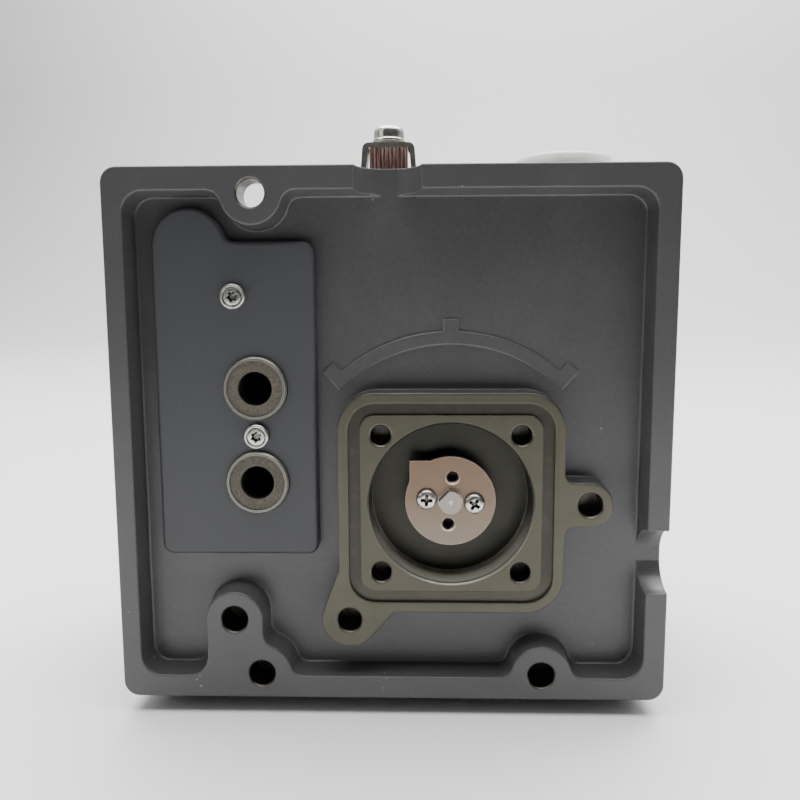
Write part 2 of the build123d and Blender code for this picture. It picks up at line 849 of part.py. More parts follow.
# Pointer disc with its square corner, two screw holes and two tapped holes
screw_turns = [driver_turn, driver_turn + 180]
tap_turns = [driver_turn + 90, driver_turn + 270]
screw_spots = [turned(a, driver_screw_reach) for a in screw_turns]
tap_spots = [turned(a, driver_screw_reach) for a in tap_turns]
with BuildPart() as pointer_disc:
    with BuildSketch(rear(disc_face)):
        Circle(disc_radius)
        with Locations((-pointer_half / 2, pointer_half / 2)):
            Rectangle(pointer_half, pointer_half)
    extrude(amount=-disc_thickness)
    chamfer(pointer_disc.edges().group_by(Axis.Y)[0], 0.2)
    with BuildSketch(rear(disc_face)) as shaft_hole:
        Circle(shaft_tip_radius + fit_gap)
        flat_reach = shaft_flat + 0.25 + shaft_tip_radius
        with Locations(Location((*turned(shaft_flat_angle, flat_reach), 0), shaft_flat_angle)):
            Rectangle(2 * shaft_tip_radius, 3 * shaft_tip_radius, mode=Mode.SUBTRACT)
        with Locations(*screw_spots):
            Circle(m3_radius + hole_gap)
    extrude(amount=-disc_thickness, mode=Mode.SUBTRACT)
    with Locations(*[Location(rear(disc_face) * Location((x, z, 0))) for x, z in tap_spots]):
        CounterSinkHole(m3_tap_radius, m3_tap_radius + tap_mouth, depth=disc_thickness)
save(pointer_disc.part, "pointer_disc")

# Black moulded driver behind the disc
with BuildPart() as driver_hub:
    with BuildSketch(rear(disc_back)):
        Circle(hub_radius)
    extrude(amount=-hub_length)
    fillet(driver_hub.edges().group_by(Axis.Y)[-1], hub_edge)
    with BuildSketch(rear(disc_back + hub_length)):
        Circle(hub_neck_radius)
    extrude(amount=disc_back + hub_length - journal_start)
    with BuildSketch(rear(disc_back)):
        Circle(shaft_tip_radius + fit_gap)
    extrude(amount=disc_back - journal_start, mode=Mode.SUBTRACT)
    with BuildSketch(rear(disc_back)):
        with Locations(*screw_spots):
            Circle(m3_radius + fit_gap)
        with Locations(*tap_spots):
            Circle(m3_tap_radius)
    extrude(amount=hub_blind - hub_length, mode=Mode.SUBTRACT)
save(driver_hub.part, "driver_hub")

screw("disc_screws", screw_spots, disc_face, disc_screw_head, disc_screw_height, m3_radius,
      disc_back + hub_length - disc_screw_rest, small_cross_arm)


def tooth_half_angle(radius, teeth):
    """Half the angle that an involute tooth takes up at a radius."""
    pitch = gear_module * teeth / 2
    base = pitch * cos(radians(pressure_angle))
    at_pitch = pi / (2 * teeth) - backlash / (4 * pitch)
    lean = acos(min(1, base / radius))
    rest = radians(pressure_angle)
    return degrees(at_pitch + (tan(rest) - rest) - (tan(lean) - lean))


def tooth_point(centre, teeth, turn, way, radius, reach):
    """Point at reach from a gear's centre, on the ray where a tooth's flank meets a radius."""
    x, z = turned(turn + way * tooth_half_angle(radius, teeth), reach)
    return (centre[0] + x, centre[1] + z)


def spur_gear(name, centre, teeth, first_tooth, bore, hub_length):
    """Spur gear with involute flanks, each drawn as one arc through three of its points."""
    pitch = gear_module * teeth / 2
    root = pitch - 1.25 * gear_module
    tip = pitch + gear_module
    start = max(root, pitch * cos(radians(pressure_angle)))
    middle = (start + tip) / 2
    foot = root - 0.2 * gear_module
    with BuildPart() as gear:
        with BuildSketch(rear(gear_start)):
            with Locations(centre):
                Circle(root)
            for i in range(teeth):
                turn = first_tooth + i * 360 / teeth
                one, other = [
                    [tooth_point(centre, teeth, turn, way, radius, reach)
                     for radius, reach in ((start, foot), (start, start), (middle, middle), (tip, tip))]
                    for way in (-1, 1)
                ]
                with BuildLine():
                    Line(one[0], one[1])
                    ThreePointArc(one[1], one[2], one[3])
                    Line(one[3], other[3])
                    ThreePointArc(other[3], other[2], other[1])
                    Line(other[1], other[0])
                    Line(other[0], one[0])
                make_face()
        extrude(amount=-gear_width)
        if hub_length:
            with BuildSketch(rear(gear_start + gear_width)):
                with Locations(centre):
                    Circle(gear_hub_radius)
            extrude(amount=-hub_length)
            with BuildSketch(rear(gear_start)):
                with PolarLocations((root + gear_hub_radius) / 2, gear_windows):
                    Circle(gear_window_radius)
            extrude(amount=-gear_width, mode=Mode.SUBTRACT)
        with BuildSketch(rear(gear_start)):
            with Locations(centre):
                Circle(bore)
        extrude(amount=-gear_width - hub_length, mode=Mode.SUBTRACT)
    save(gear.part, name)


spur_gear("drive_gear", (0, 0), gear_teeth, sensor_angle, shaft_tip_radius + fit_gap, gear_hub_length)
spur_gear("sensor_pinion", (sensor_x, sensor_z), pinion_teeth, sensor_angle + 180 + 180 / pinion_teeth,
          sensor_shaft_radius + fit_gap, 0)

# Angle sensor: its body under the bracket, its own shaft, the bracket and the nut
with BuildPart() as angle_sensor:
    with BuildSketch(rear(sensor_back)):
        with Locations((sensor_x, sensor_z)):
            Circle(sensor_radius)
    extrude(amount=-sensor_length)
    fillet(angle_sensor.edges().group_by(Axis.Y)[0], sensor_edge)
    with BuildSketch(rear(bracket_start)):
        with Locations((sensor_x, sensor_z)):
            Circle(sensor_neck_radius)
    extrude(amount=-bracket_thickness - sensor_nut_height - sensor_neck_past_nut)
    with BuildSketch(rear(sensor_back + sensor_leads_sink)):
        with Locations((sensor_x, sensor_z - sensor_radius)):
            Rectangle(sensor_leads_width, sensor_leads_height)
    extrude(amount=-sensor_leads_length)
    with BuildSketch(rear(sensor_back + sensor_floor)):
        with Locations((sensor_x, sensor_z)):
            Circle(sensor_shaft_radius + running_gap)
    extrude(amount=-2 * sensor_length, mode=Mode.SUBTRACT)
save(angle_sensor.part, "angle_sensor")

with BuildPart() as sensor_shaft:
    sensor_shaft_back = sensor_back + sensor_floor + sensor_shaft_end_gap
    with BuildSketch(rear(sensor_shaft_back)):
        with Locations((sensor_x, sensor_z)):
            Circle(sensor_shaft_radius)
    extrude(amount=sensor_shaft_back - gear_start - gear_width - sensor_shaft_proud)
save(sensor_shaft.part, "sensor_shaft")

with BuildPart() as sensor_bracket:
    with BuildSketch(rear(bracket_start)) as bracket_outline:
        with Locations((sensor_x, sensor_z)):
            Circle(bracket_radius)
            with PolarLocations(bracket_ear, 2, start_angle=sensor_angle + 90):
                Circle(bracket_ear_radius)
        with Locations((sensor_x, sensor_z)):
            Circle(sensor_neck_radius + fit_gap, mode=Mode.SUBTRACT)
            with PolarLocations(bracket_ear, 2, start_angle=sensor_angle + 90):
                Circle(m3_radius + hole_gap, mode=Mode.SUBTRACT)
    extrude(amount=-bracket_thickness)
save(sensor_bracket.part, "sensor_bracket")

with BuildPart() as sensor_nut:
    with BuildSketch(rear(bracket_front)):
        with Locations((sensor_x, sensor_z)):
            RegularPolygon(sensor_nut_flats / 2, 6, major_radius=False)
            Circle(sensor_neck_radius + fit_gap, mode=Mode.SUBTRACT)
    extrude(amount=-sensor_nut_height)
save(sensor_nut.part, "sensor_nut")


def front_screws(name, places, seat, head_radius, head_height, shank_radius, shank_back, flats):
    """Screws driven from the front, as one node of separate solids."""
    with BuildPart() as group:
        with BuildSketch(rear(seat)):
            with Locations(*places):
                Circle(head_radius)
        extrude(amount=-head_height)
        chamfer(group.edges().filter_by(GeomType.CIRCLE).group_by(Axis.Y)[-1], head_chamfer)
        with BuildSketch(rear(shank_back)):
            with Locations(*places):
                Circle(shank_radius)
        extrude(amount=shank_back - seat)
        with BuildSketch(rear(seat + head_height / 2)):
            with Locations(*places):
                RegularPolygon(flats / 2, 6, major_radius=False)
        extrude(amount=-head_height / 2, mode=Mode.SUBTRACT)
    save(group.part, name)


bracket_spots = [
    (sensor_x + x, sensor_z + z) for x, z in (turned(sensor_angle + a, bracket_ear) for a in (90, 270))
]
front_screws("bracket_screws", bracket_spots, bracket_front, small_head_radius, small_head_height,
             m3_radius, bracket_start - post_screw_hold, small_socket_flats)

# Rear cover plate: a shallow moulding with a rounded lobe
plate_x = -(plate_left + plate_right) / 2
plate_face = tray_depth - plate_height
lobe_x = lobe_radius - plate_left
with BuildPart() as rear_cover_plate:
    with BuildSketch(rear(plate_face)) as plate_outline:
        with Locations((plate_x, (plate_top - plate_bottom) / 2)):
            RectangleRounded(plate_left - plate_right, plate_top + plate_bottom, plate_corner)
        with Locations((lobe_x, lobe_centre_z)):
            Circle(lobe_radius)
        with Locations((lobe_x - lobe_radius / 2, (lobe_centre_z + plate_top - lobe_root) / 2)):
            Rectangle(lobe_radius, lobe_centre_z - plate_top + lobe_root)
        lobe_meet = (lobe_x + sqrt(lobe_radius**2 - (plate_top - lobe_centre_z)**2), plate_top)
        fillet(near(plate_outline.vertices(), [lobe_meet], 0.5), lobe_blend)
    extrude(amount=-plate_height)
    fillet(rear_cover_plate.edges().group_by(Axis.Y)[0], plate_edge)
    with BuildSketch(rear(plate_face)):
        with Locations(*port_places):
            Circle(sleeve_radius + plate_gap)
        with Locations(*plate_screws):
            Circle(m3_radius + plate_gap)
    extrude(amount=-plate_height, mode=Mode.SUBTRACT)
save(rear_cover_plate.part, "rear_cover_plate")

screw("cover_plate_screws", plate_screws, plate_face, plate_screw_head, plate_screw_height, m3_radius,
      plate_face + plate_screw_length, large_cross_arm)

# Port sleeves that carry the air out of the back, with flat seals in their seats
with BuildPart() as port_sleeves:
    with BuildSketch(rear(sleeve_face)):
        with Locations(*port_places):
            Circle(sleeve_radius)
    extrude(amount=sleeve_face - tray_depth)
    chamfer(port_sleeves.edges().group_by(Axis.Y)[0], sleeve_chamfer)
    with BuildSketch(rear(tray_depth)):
        with Locations(*port_places):
            Circle(sleeve_neck_radius)
    extrude(amount=tray_depth - sleeve_end)
    with BuildSketch(rear(sleeve_face)):
        with Locations(*port_places):
            Circle(seat_radius)
    extrude(amount=-seat_depth, mode=Mode.SUBTRACT)
    with BuildSketch(rear(sleeve_face)):
        with Locations(*port_places):
            Circle(port_bore)
    extrude(amount=sleeve_face - sleeve_end, mode=Mode.SUBTRACT)
save(port_sleeves.part, "port_sleeves")

with BuildPart() as port_seals:
    with BuildSketch(rear(sleeve_face + seat_depth - seat_seal_thickness)):
        with Locations(*port_places):
            Circle(seat_radius - fit_gap)
            Circle(port_bore + fit_gap, mode=Mode.SUBTRACT)
    extrude(amount=-seat_seal_thickness)
save(port_seals.part, "port_seals")

# Pneumatic manifold and its gasket, screwed to the compartment's floor
with BuildPart() as manifold_gasket:
    with BuildSketch(rear(floor_front)):
        with Locations((manifold_x, manifold_z)):
            RectangleRounded(manifold_left - manifold_right, manifold_top + manifold_bottom, manifold_corner)
        with Locations(*port_places):
            Circle(sleeve_neck_radius + fit_gap, mode=Mode.SUBTRACT)
        with Locations(*manifold_spots):
            Circle(m4_radius + hole_gap, mode=Mode.SUBTRACT)
    extrude(amount=-manifold_seal)
save(manifold_gasket.part, "manifold_gasket")

with BuildPart() as pneumatic_manifold:
    with BuildSketch(rear(manifold_back)):
        with Locations((manifold_x, manifold_z)):
            RectangleRounded(manifold_left - manifold_right, manifold_top + manifold_bottom, manifold_corner)
    extrude(amount=manifold_back - manifold_front)
    with BuildSketch(rear(manifold_back)):
        with Locations(*port_places):
            Circle(sleeve_neck_radius + fit_gap)
    extrude(amount=manifold_back - sleeve_end - end_gap, mode=Mode.SUBTRACT)
    with BuildSketch(rear(sleeve_end)):
        with Locations(*port_places):
            Circle(port_bore)
    extrude(amount=sleeve_end - passage_depth, mode=Mode.SUBTRACT)
    with BuildSketch(rear(manifold_back)):
        with Locations(*manifold_spots):
            Circle(m4_radius + hole_gap)
    extrude(amount=manifold_back - manifold_front, mode=Mode.SUBTRACT)
    with BuildSketch(rear(manifold_front)):
        with Locations(*manifold_spots):
            Circle(m4_head_radius + hole_gap)
    extrude(amount=manifold_screw_sink, mode=Mode.SUBTRACT)
save(pneumatic_manifold.part, "pneumatic_manifold")

front_screws("manifold_screws", manifold_spots, manifold_front - manifold_screw_sink, m4_head_radius,
             m4_head_height, m4_radius, floor_front - manifold_screw_hold, m4_socket_flats)

# Current-to-pressure converter: a stepped can with its cable header
with BuildPart() as pressure_converter:
    with BuildSketch(rear(manifold_front)):
        with Locations((converter_x, converter_z)):
            RectangleRounded(2 * converter_radius, 2 * converter_radius, foot_corner)
    extrude(amount=-converter_foot)
    with BuildSketch(rear(manifold_front + converter_foot)):
        with Locations((converter_x, converter_z)):
            Circle(converter_radius - converter_step)
    extrude(amount=converter_foot - converter_length)
    fillet(pressure_converter.edges().group_by(Axis.Y)[-1], converter_edge)
    with BuildSketch(rear(manifold_front + converter_length)):
        with Locations((converter_x, converter_z)):
            Rectangle(plug_socket_width, plug_socket_height)
    extrude(amount=-plug_socket_length)
save(pressure_converter.part, "pressure_converter")

# Booster relay: body, clamped diaphragm and domed cap
with BuildPart() as booster_body:
    with BuildSketch(rear(manifold_front)):
        with Locations((booster_x, booster_z)):
            RectangleRounded(booster_width, booster_height, foot_corner)
    extrude(amount=-booster_length)
save(booster_body.part, "booster_body")

with BuildPart() as booster_diaphragm:
    with BuildSketch(rear(manifold_front + booster_length)):
        with Locations((booster_x, booster_z)):
            Circle(diaphragm_radius)
    extrude(amount=-diaphragm_length)
save(booster_diaphragm.part, "booster_diaphragm")

with BuildPart() as booster_cap:
    with BuildSketch(rear(manifold_front + booster_length + diaphragm_length)):
        with Locations((booster_x, booster_z)):
            Circle(diaphragm_radius)
    extrude(amount=-booster_cap_length)
    fillet(booster_cap.edges().group_by(Axis.Y)[-1], booster_cap_edge)
save(booster_cap.part, "booster_cap")

# Circuit board on six posts, with its switches and terminals
board_x = (post_left + post_right) / 2
board_z = (post_low + post_high) / 2
board_width = post_right - post_left + 2 * board_margin
with BuildPart() as main_board:
    with BuildSketch(rear(post_front)):
        with Locations((board_x, board_z)):
            RectangleRounded(board_width, post_high - post_low + 2 * board_margin, board_corner)
        with Locations(*board_posts):
            Circle(m3_radius + hole_gap, mode=Mode.SUBTRACT)
    extrude(amount=-board_thickness)
    with BuildSketch(rear(board_front)):
        for spot, (width, height) in chips:
            with Locations(spot):
                Rectangle(width, height)
    extrude(amount=-chip_thickness)
save(main_board.part, "main_board")

high_posts = [(x, post_high) for x in (post_left, post_right)]
front_screws("board_screws", high_posts, board_front, small_head_radius, small_head_height, m3_radius,
             post_front - post_screw_hold, small_socket_flats)

with BuildPart() as panel_standoffs:
    with BuildSketch(rear(board_front)):
        with Locations(*panel_posts):
            RegularPolygon(standoff_flats / 2, 6, major_radius=False)
    extrude(amount=board_front - panel_back)
    with BuildSketch(rear(post_front - post_screw_hold)):
        with Locations(*panel_posts):
            Circle(m3_radius)
    extrude(amount=post_front - post_screw_hold - board_front)
    with BuildSketch(rear(panel_back)):
        with Locations(*panel_posts):
            Circle(m3_radius + fit_gap)
    extrude(amount=post_hole_depth, mode=Mode.SUBTRACT)
save(panel_standoffs.part, "panel_standoffs")

with BuildPart() as key_switches:
    with BuildSketch(rear(board_front)):
        with Locations(*[(x, key_z) for x in key_places]):
            Rectangle(switch_side, switch_side)
    extrude(amount=plunger_height - switch_height)
    with BuildSketch(rear(switch_top - plunger_height)):
        with Locations(*[(x, key_z) for x in key_places]):
            Circle(switch_side / 4)
    extrude(amount=-plunger_height)
save(key_switches.part, "key_switches")

terminal_width = terminal_count * terminal_pitch
terminal_mid = terminal_x + terminal_width / 2
with BuildPart() as terminal_block:
    with BuildSketch(rear(board_front)):
        with Locations((terminal_mid, terminal_z)):
            Rectangle(terminal_width, terminal_depth)
    extrude(amount=-terminal_height)
    with BuildSketch(rear(board_front + terminal_height)):
        with Locations((terminal_mid, terminal_z)):
            with GridLocations(terminal_pitch, 0, terminal_count, 1):
                Circle(terminal_well)
    extrude(amount=terminal_well_depth, mode=Mode.SUBTRACT)
    with BuildSketch(Plane.XY.offset(terminal_z + terminal_depth / 2)):
        with Locations((terminal_mid, board_front + wire_hole_height)):
            with GridLocations(terminal_pitch, 0, terminal_count, 1):
                Rectangle(wire_hole_width, wire_hole_height)
    extrude(amount=-terminal_depth / 2, mode=Mode.SUBTRACT)
save(terminal_block.part, "terminal_block")

terminal_spots = [
    (terminal_mid + (i - (terminal_count - 1) / 2) * terminal_pitch, terminal_z) for i in range(terminal_count)
]
with BuildPart() as terminal_screws:
    with BuildSketch(rear(board_front + terminal_height - terminal_well_depth)):
        with Locations(*terminal_spots):
            Circle(terminal_screw_radius)
    extrude(amount=-terminal_screw_length)
    with BuildSketch(rear(board_front + terminal_height - terminal_well_depth + terminal_screw_length)):
        with Locations(*terminal_spots):
            Rectangle(2 * terminal_screw_radius, terminal_slot_width)
    extrude(amount=terminal_slot_depth, mode=Mode.SUBTRACT)
save(terminal_screws.part, "terminal_screws")

# Display module behind the panel's opening
display_spot = (display_x, display_z)
with BuildPart() as display_module:
    with BuildSketch(rear(panel_back - display_thickness)):
        with Locations(display_spot):
            RectangleRounded(display_width, display_height, display_corner)
    extrude(amount=-display_thickness)
    with BuildSketch(rear(panel_back)):
        with Locations(display_spot):
            Rectangle(display_width - 2 * display_inset, display_height - 2 * display_inset)
    extrude(amount=-panel_thickness)
    with BuildSketch(rear(panel_back - display_thickness - display_board_thickness)):
        with Locations(display_spot):
            Rectangle(display_width + 2 * display_board_margin, display_height + 2 * display_board_margin)
    extrude(amount=-display_board_thickness)
    with BuildSketch(rear(board_front)):
        with Locations((display_x, display_z + display_height / 2)):
            Rectangle(header_width, header_height)
    extrude(amount=board_front + display_thickness + display_board_thickness - panel_back)
save(display_module.part, "display_module")

with BuildPart() as display_panel:
    with BuildSketch(rear(panel_back)):
        with Locations((board_x, (post_low + post_mid) / 2)):
            RectangleRounded(board_width, post_mid - post_low + 2 * board_margin, panel_corner)
    extrude(amount=-panel_thickness)
    with BuildSketch(rear(panel_front)):
        with Locations(display_spot):
            RectangleRounded(display_width + 2 * bezel_margin, display_height, bezel_corner)
    extrude(amount=-panel_bezel)
    with BuildSketch(rear(panel_front)):
        with Locations(*[(x, key_z) for x in key_places]):
            Circle(key_radius + key_rim)
    extrude(amount=-panel_bezel / 2)
    with BuildSketch(rear(panel_back)):
        with Locations(display_spot):
            Rectangle(display_width - 2 * display_border, display_height - 2 * display_border)
        with Locations(*[(x, key_z) for x in key_places]):
            Circle(key_radius + key_gap)
        with Locations(*panel_posts):
            Circle(m3_radius + hole_gap)
    extrude(amount=-panel_thickness - panel_bezel, mode=Mode.SUBTRACT)
save(display_panel.part, "display_panel")

front_screws("panel_screws", panel_posts, panel_front, small_head_radius, small_head_height, m3_radius,
             panel_back - post_screw_hold, small_socket_flats)

# Keys that stand through the panel over their switches
for name, x in zip(keys, key_places):
    with BuildPart() as key:
        with BuildSketch(rear(key_back)):
            with Locations((x, key_z)):
                Circle(key_stem)
        extrude(amount=key_back - panel_front - key_proud)
        with BuildSketch(rear(panel_back - key_collar_length - key_play)):
            with Locations((x, key_z)):
                Circle(key_collar)
        extrude(amount=-key_collar_length)
        with BuildSketch(rear(panel_back - key_play)):
            with Locations((x, key_z)):
                Circle(key_radius)
        extrude(amount=-panel_thickness - key_proud - key_play)
        fillet(key.edges().group_by(Axis.Y)[-1], 0.8)
    save(key.part, name)

# Cover gasket in the compartment's front edge
with BuildPart() as cover_gasket:
    outer_inset = gasket_inset + gasket_gap
    with BuildSketch(rear(body_front - gasket_depth)):
        with Locations((body_x, body_z)):
            RectangleRounded(body_width - 2 * outer_inset, body_height - 2 * outer_inset, body_corner - outer_inset)
            inner_inset = outer_inset + gasket_width
            RectangleRounded(
                body_width - 2 * inner_inset,
                body_height - 2 * inner_inset,
                body_corner - inner_inset,
                mode=Mode.SUBTRACT,
            )
    extrude(amount=-gasket_depth)
save(cover_gasket.part, "cover_gasket")

# Front cover: a tapered shell with a window, a raised rim round it and pockets for four captive screws
cover_height = body_height - cover_lift_off_base
cover_z = body_z + cover_lift_off_base / 2
window_spot = (display_x, display_z)
pane_width = window_width + 2 * window_overlap
pane_height = window_height + 2 * window_overlap
retainer_width = pane_width + 2 * retainer_border
retainer_height = pane_height + 2 * retainer_border
retainer_spots = [
    (display_x + sx * (pane_width + retainer_border) / 2, display_z + sz * (pane_height + retainer_border) / 2)
    for sx in (-1, 1) for sz in (-1, 1)
]
pane_back = ceiling - window_seal_thickness - pane_thickness
with BuildPart() as front_cover:
    with BuildSketch(rear(body_front)):
        with Locations((body_x, cover_z)):
            RectangleRounded(body_width, cover_height, body_corner)
    extrude(amount=-cover_depth, taper=cover_draft)
    fillet(front_cover.edges().group_by(Axis.Y)[-1], cover_edge)
    with BuildSketch(rear(body_front)):
        with Locations((body_x, cover_z)):
            RectangleRounded(body_width - 2 * body_wall, cover_height - 2 * body_wall, body_corner - body_wall)
    extrude(amount=cover_wall - cover_depth, taper=cover_draft, mode=Mode.SUBTRACT)
    with BuildSketch(rear(body_front)):
        with Locations(*corner_posts):
            Circle(screw_pocket_radius + screw_pocket_wall)
    extrude(amount=cover_wall - cover_depth)
    with BuildSketch(rear(body_front + screw_shelf)):
        with Locations(*corner_posts):
            Circle(screw_pocket_radius)
    extrude(amount=-cover_depth, mode=Mode.SUBTRACT)
    with BuildSketch(rear(body_front)):
        with Locations(*corner_posts):
            Circle(m5_radius + m5_gap)
    extrude(amount=-screw_shelf, mode=Mode.SUBTRACT)
    with BuildSketch(rear(cover_front)):
        with Locations(window_spot):
            RectangleRounded(window_width + 2 * window_rim, window_height + 2 * window_rim, window_corner + window_rim)
    extrude(amount=-window_rim_height)
    with BuildSketch(rear(ceiling)):
        with Locations(window_spot):
            RectangleRounded(window_width, window_height, window_corner)
    extrude(amount=-cover_wall - window_rim_height, mode=Mode.SUBTRACT)
    with BuildSketch(rear(pane_back)):
        with Locations(*retainer_spots):
            Circle(retainer_post_radius)
    extrude(amount=pane_back - ceiling)
    with BuildSketch(rear(pane_back)):
        with Locations(*retainer_spots):
            Circle(m3_radius + fit_gap)
    extrude(amount=pane_back - ceiling, mode=Mode.SUBTRACT)
save(front_cover.part, "front_cover")

front_screws("cover_screws", corner_posts, body_front + screw_shelf, m5_head_radius, m5_head_height, m5_radius,
             body_front - m5_grip, m5_socket_flats)

# Window: seal, pane and the frame that clamps them from inside
with BuildPart() as window_seal:
    with BuildSketch(rear(ceiling - window_seal_thickness)):
        with Locations(window_spot):
            RectangleRounded(pane_width, pane_height, window_corner)
            RectangleRounded(window_width, window_height, window_corner, mode=Mode.SUBTRACT)
    extrude(amount=-window_seal_thickness)
save(window_seal.part, "window_seal")

with BuildPart() as window_pane:
    with BuildSketch(rear(pane_back)):
        with Locations(window_spot):
            RectangleRounded(pane_width, pane_height, window_corner)
    extrude(amount=-pane_thickness)
save(window_pane.part, "window_pane")

with BuildPart() as window_retainer:
    with BuildSketch(rear(pane_back - retainer_thickness)):
        with Locations(window_spot):
            RectangleRounded(retainer_width, retainer_height, window_corner)
            RectangleRounded(window_width - 2 * retainer_lip, window_height - 2 * retainer_lip, window_corner, mode=Mode.SUBTRACT)
        with Locations(*retainer_spots):
            Circle(m3_radius + hole_gap, mode=Mode.SUBTRACT)
    extrude(amount=-retainer_thickness)
save(window_retainer.part, "window_retainer")

screw("retainer_screws", retainer_spots, pane_back - retainer_thickness, small_head_radius, small_head_height,
      m3_radius, ceiling - retainer_screw_rest, small_cross_arm)

# Earth terminal: ribbed block, bent saddle, washer and slotted screw on the top edge
earth_spot = (earth_x, earth_y)
block_top = axis_to_top + earth_block_height
saddle_top = block_top + saddle_sheet
washer_top = saddle_top + earth_washer_thickness
earth_bore = earth_screw_radius + earth_screw_gap
with BuildPart() as earth_block:
    with BuildSketch(Plane.XY.offset(axis_to_top)):
        with Locations(earth_spot):
            Rectangle(earth_block_width, earth_block_depth)
            Circle(earth_bore, mode=Mode.SUBTRACT)
            rib_count = int(earth_block_width / earth_rib_pitch)
            for way in (-1, 1):
                with Locations((0, way * earth_block_depth / 2)):
                    with GridLocations(earth_rib_pitch, 0, rib_count, 1):
                        Rectangle(earth_rib_width, 2 * earth_rib_depth, mode=Mode.SUBTRACT)
    extrude(amount=earth_block_height)
save(earth_block.part, "earth_block")

saddle_half = saddle_width / 2
with BuildPart() as earth_saddle:
    with BuildSketch(Plane(origin=(earth_x, earth_y - earth_block_depth / 2, 0), x_dir=(1, 0, 0), z_dir=(0, -1, 0))):
        with BuildLine():
            leg_foot = axis_to_top + saddle_lift
            FilletPolyline(
                (-saddle_half, leg_foot),
                (saddle_lean - saddle_half, saddle_top),
                (saddle_half - saddle_lean, saddle_top),
                (saddle_half, leg_foot),
                radius=saddle_bend + saddle_sheet,
            )
            Line((saddle_half, leg_foot), (saddle_half - saddle_sheet, leg_foot))
            FilletPolyline(
                (saddle_half - saddle_sheet, leg_foot),
                (saddle_half - saddle_sheet - saddle_lean, block_top),
                (saddle_sheet + saddle_lean - saddle_half, block_top),
                (saddle_sheet - saddle_half, leg_foot),
                radius=saddle_bend,
            )
            Line((saddle_sheet - saddle_half, leg_foot), (-saddle_half, leg_foot))
        make_face()
    extrude(amount=-earth_block_depth)
    with BuildSketch(Plane.XY.offset(saddle_top)):
        with Locations(earth_spot):
            Circle(earth_bore)
    extrude(amount=-saddle_sheet, mode=Mode.SUBTRACT)
save(earth_saddle.part, "earth_saddle")

with BuildPart() as earth_washer:
    with BuildSketch(Plane.XY.offset(saddle_top)):
        with Locations(earth_spot):
            Circle(earth_head_radius + earth_washer_reach)
            Circle(earth_bore, mode=Mode.SUBTRACT)
    extrude(amount=earth_washer_thickness)
save(earth_washer.part, "earth_washer")

with BuildPart() as earth_screw:
    with BuildSketch(Plane.XY.offset(washer_top)):
        with Locations(earth_spot):
            Circle(earth_head_radius)
    extrude(amount=earth_head_height)
    fillet(earth_screw.edges().group_by(Axis.Z)[-1], earth_head_edge)
    with BuildSketch(Plane.XY.offset(axis_to_top - earth_screw_depth)):
        with Locations(earth_spot):
            Circle(earth_screw_radius)
    extrude(amount=earth_screw_depth + washer_top - axis_to_top)
    with BuildSketch(Plane.XY.offset(washer_top + earth_head_height)):
        with Locations(earth_spot):
            Rectangle(2 * earth_head_radius, slot_width)
    extrude(amount=-slot_depth, mode=Mode.SUBTRACT)
save(earth_screw.part, "earth_screw")

# White transport cap pushed into the top conduit entry
conduit_spot = (conduit_x, conduit_y)
with BuildPart() as conduit_cap:
    with BuildSketch(Plane.XY.offset(conduit_top)):
        with Locations(conduit_spot):
            Circle(cap_flange_radius)
    extrude(amount=cap_flange_height)
    fillet(conduit_cap.edges().group_by(Axis.Z)[-1], cap_dome)
    with BuildSketch(Plane.XY.offset(conduit_top)):
        with Locations(conduit_spot):
            Circle(conduit_radius - cap_gap)
    extrude(amount=-cap_depth)
    with BuildSketch(Plane.XY.offset(conduit_top - cap_depth)):
        with Locations(conduit_spot):
            Circle(conduit_radius - cap_gap - cap_wall)
    extrude(amount=cap_depth, mode=Mode.SUBTRACT)
save(conduit_cap.part, "conduit_cap")

# Blanking plug and washer in the side entry
with BuildPart() as plug_washer_ring:
    with BuildSketch(side(axis_to_right)):
        with Locations((plug_y, plug_z)):
            Circle(plug_flats / 2)
            Circle(conduit_radius + fit_gap, mode=Mode.SUBTRACT)
    extrude(amount=plug_washer)
save(plug_washer_ring.part, "plug_washer")

with BuildPart() as blanking_plug:
    with BuildSketch(side(axis_to_right + plug_washer)):
        with Locations((plug_y, plug_z)):
            RegularPolygon(plug_flats / 2, 6, major_radius=False)
    extrude(amount=plug_head)
    with BuildSketch(side(axis_to_right + plug_washer)):
        with Locations((plug_y, plug_z)):
            Circle(conduit_radius - fit_gap)
    extrude(amount=room_right - axis_to_right - plug_washer)
save(blanking_plug.part, "blanking_plug")

# Vent silencer with its porous dome, in the right wall
with BuildPart() as vent_silencer:
    with BuildSketch(side(body_right)):
        with Locations((vent_y, vent_z)):
            RegularPolygon(vent_flats / 2, 6, major_radius=False)
    extrude(amount=vent_head)
    with BuildSketch(side(room_right)):
        with Locations((vent_y, vent_z)):
            Circle(vent_radius - fit_gap)
    extrude(amount=body_right - room_right + vent_head + vent_dome)
    fillet(vent_silencer.edges().group_by(Axis.X)[-1], vent_edge)
save(vent_silencer.part, "vent_silencer")
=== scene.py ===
from math import cos, radians, sin
import bpy
from mathutils import Matrix, Vector


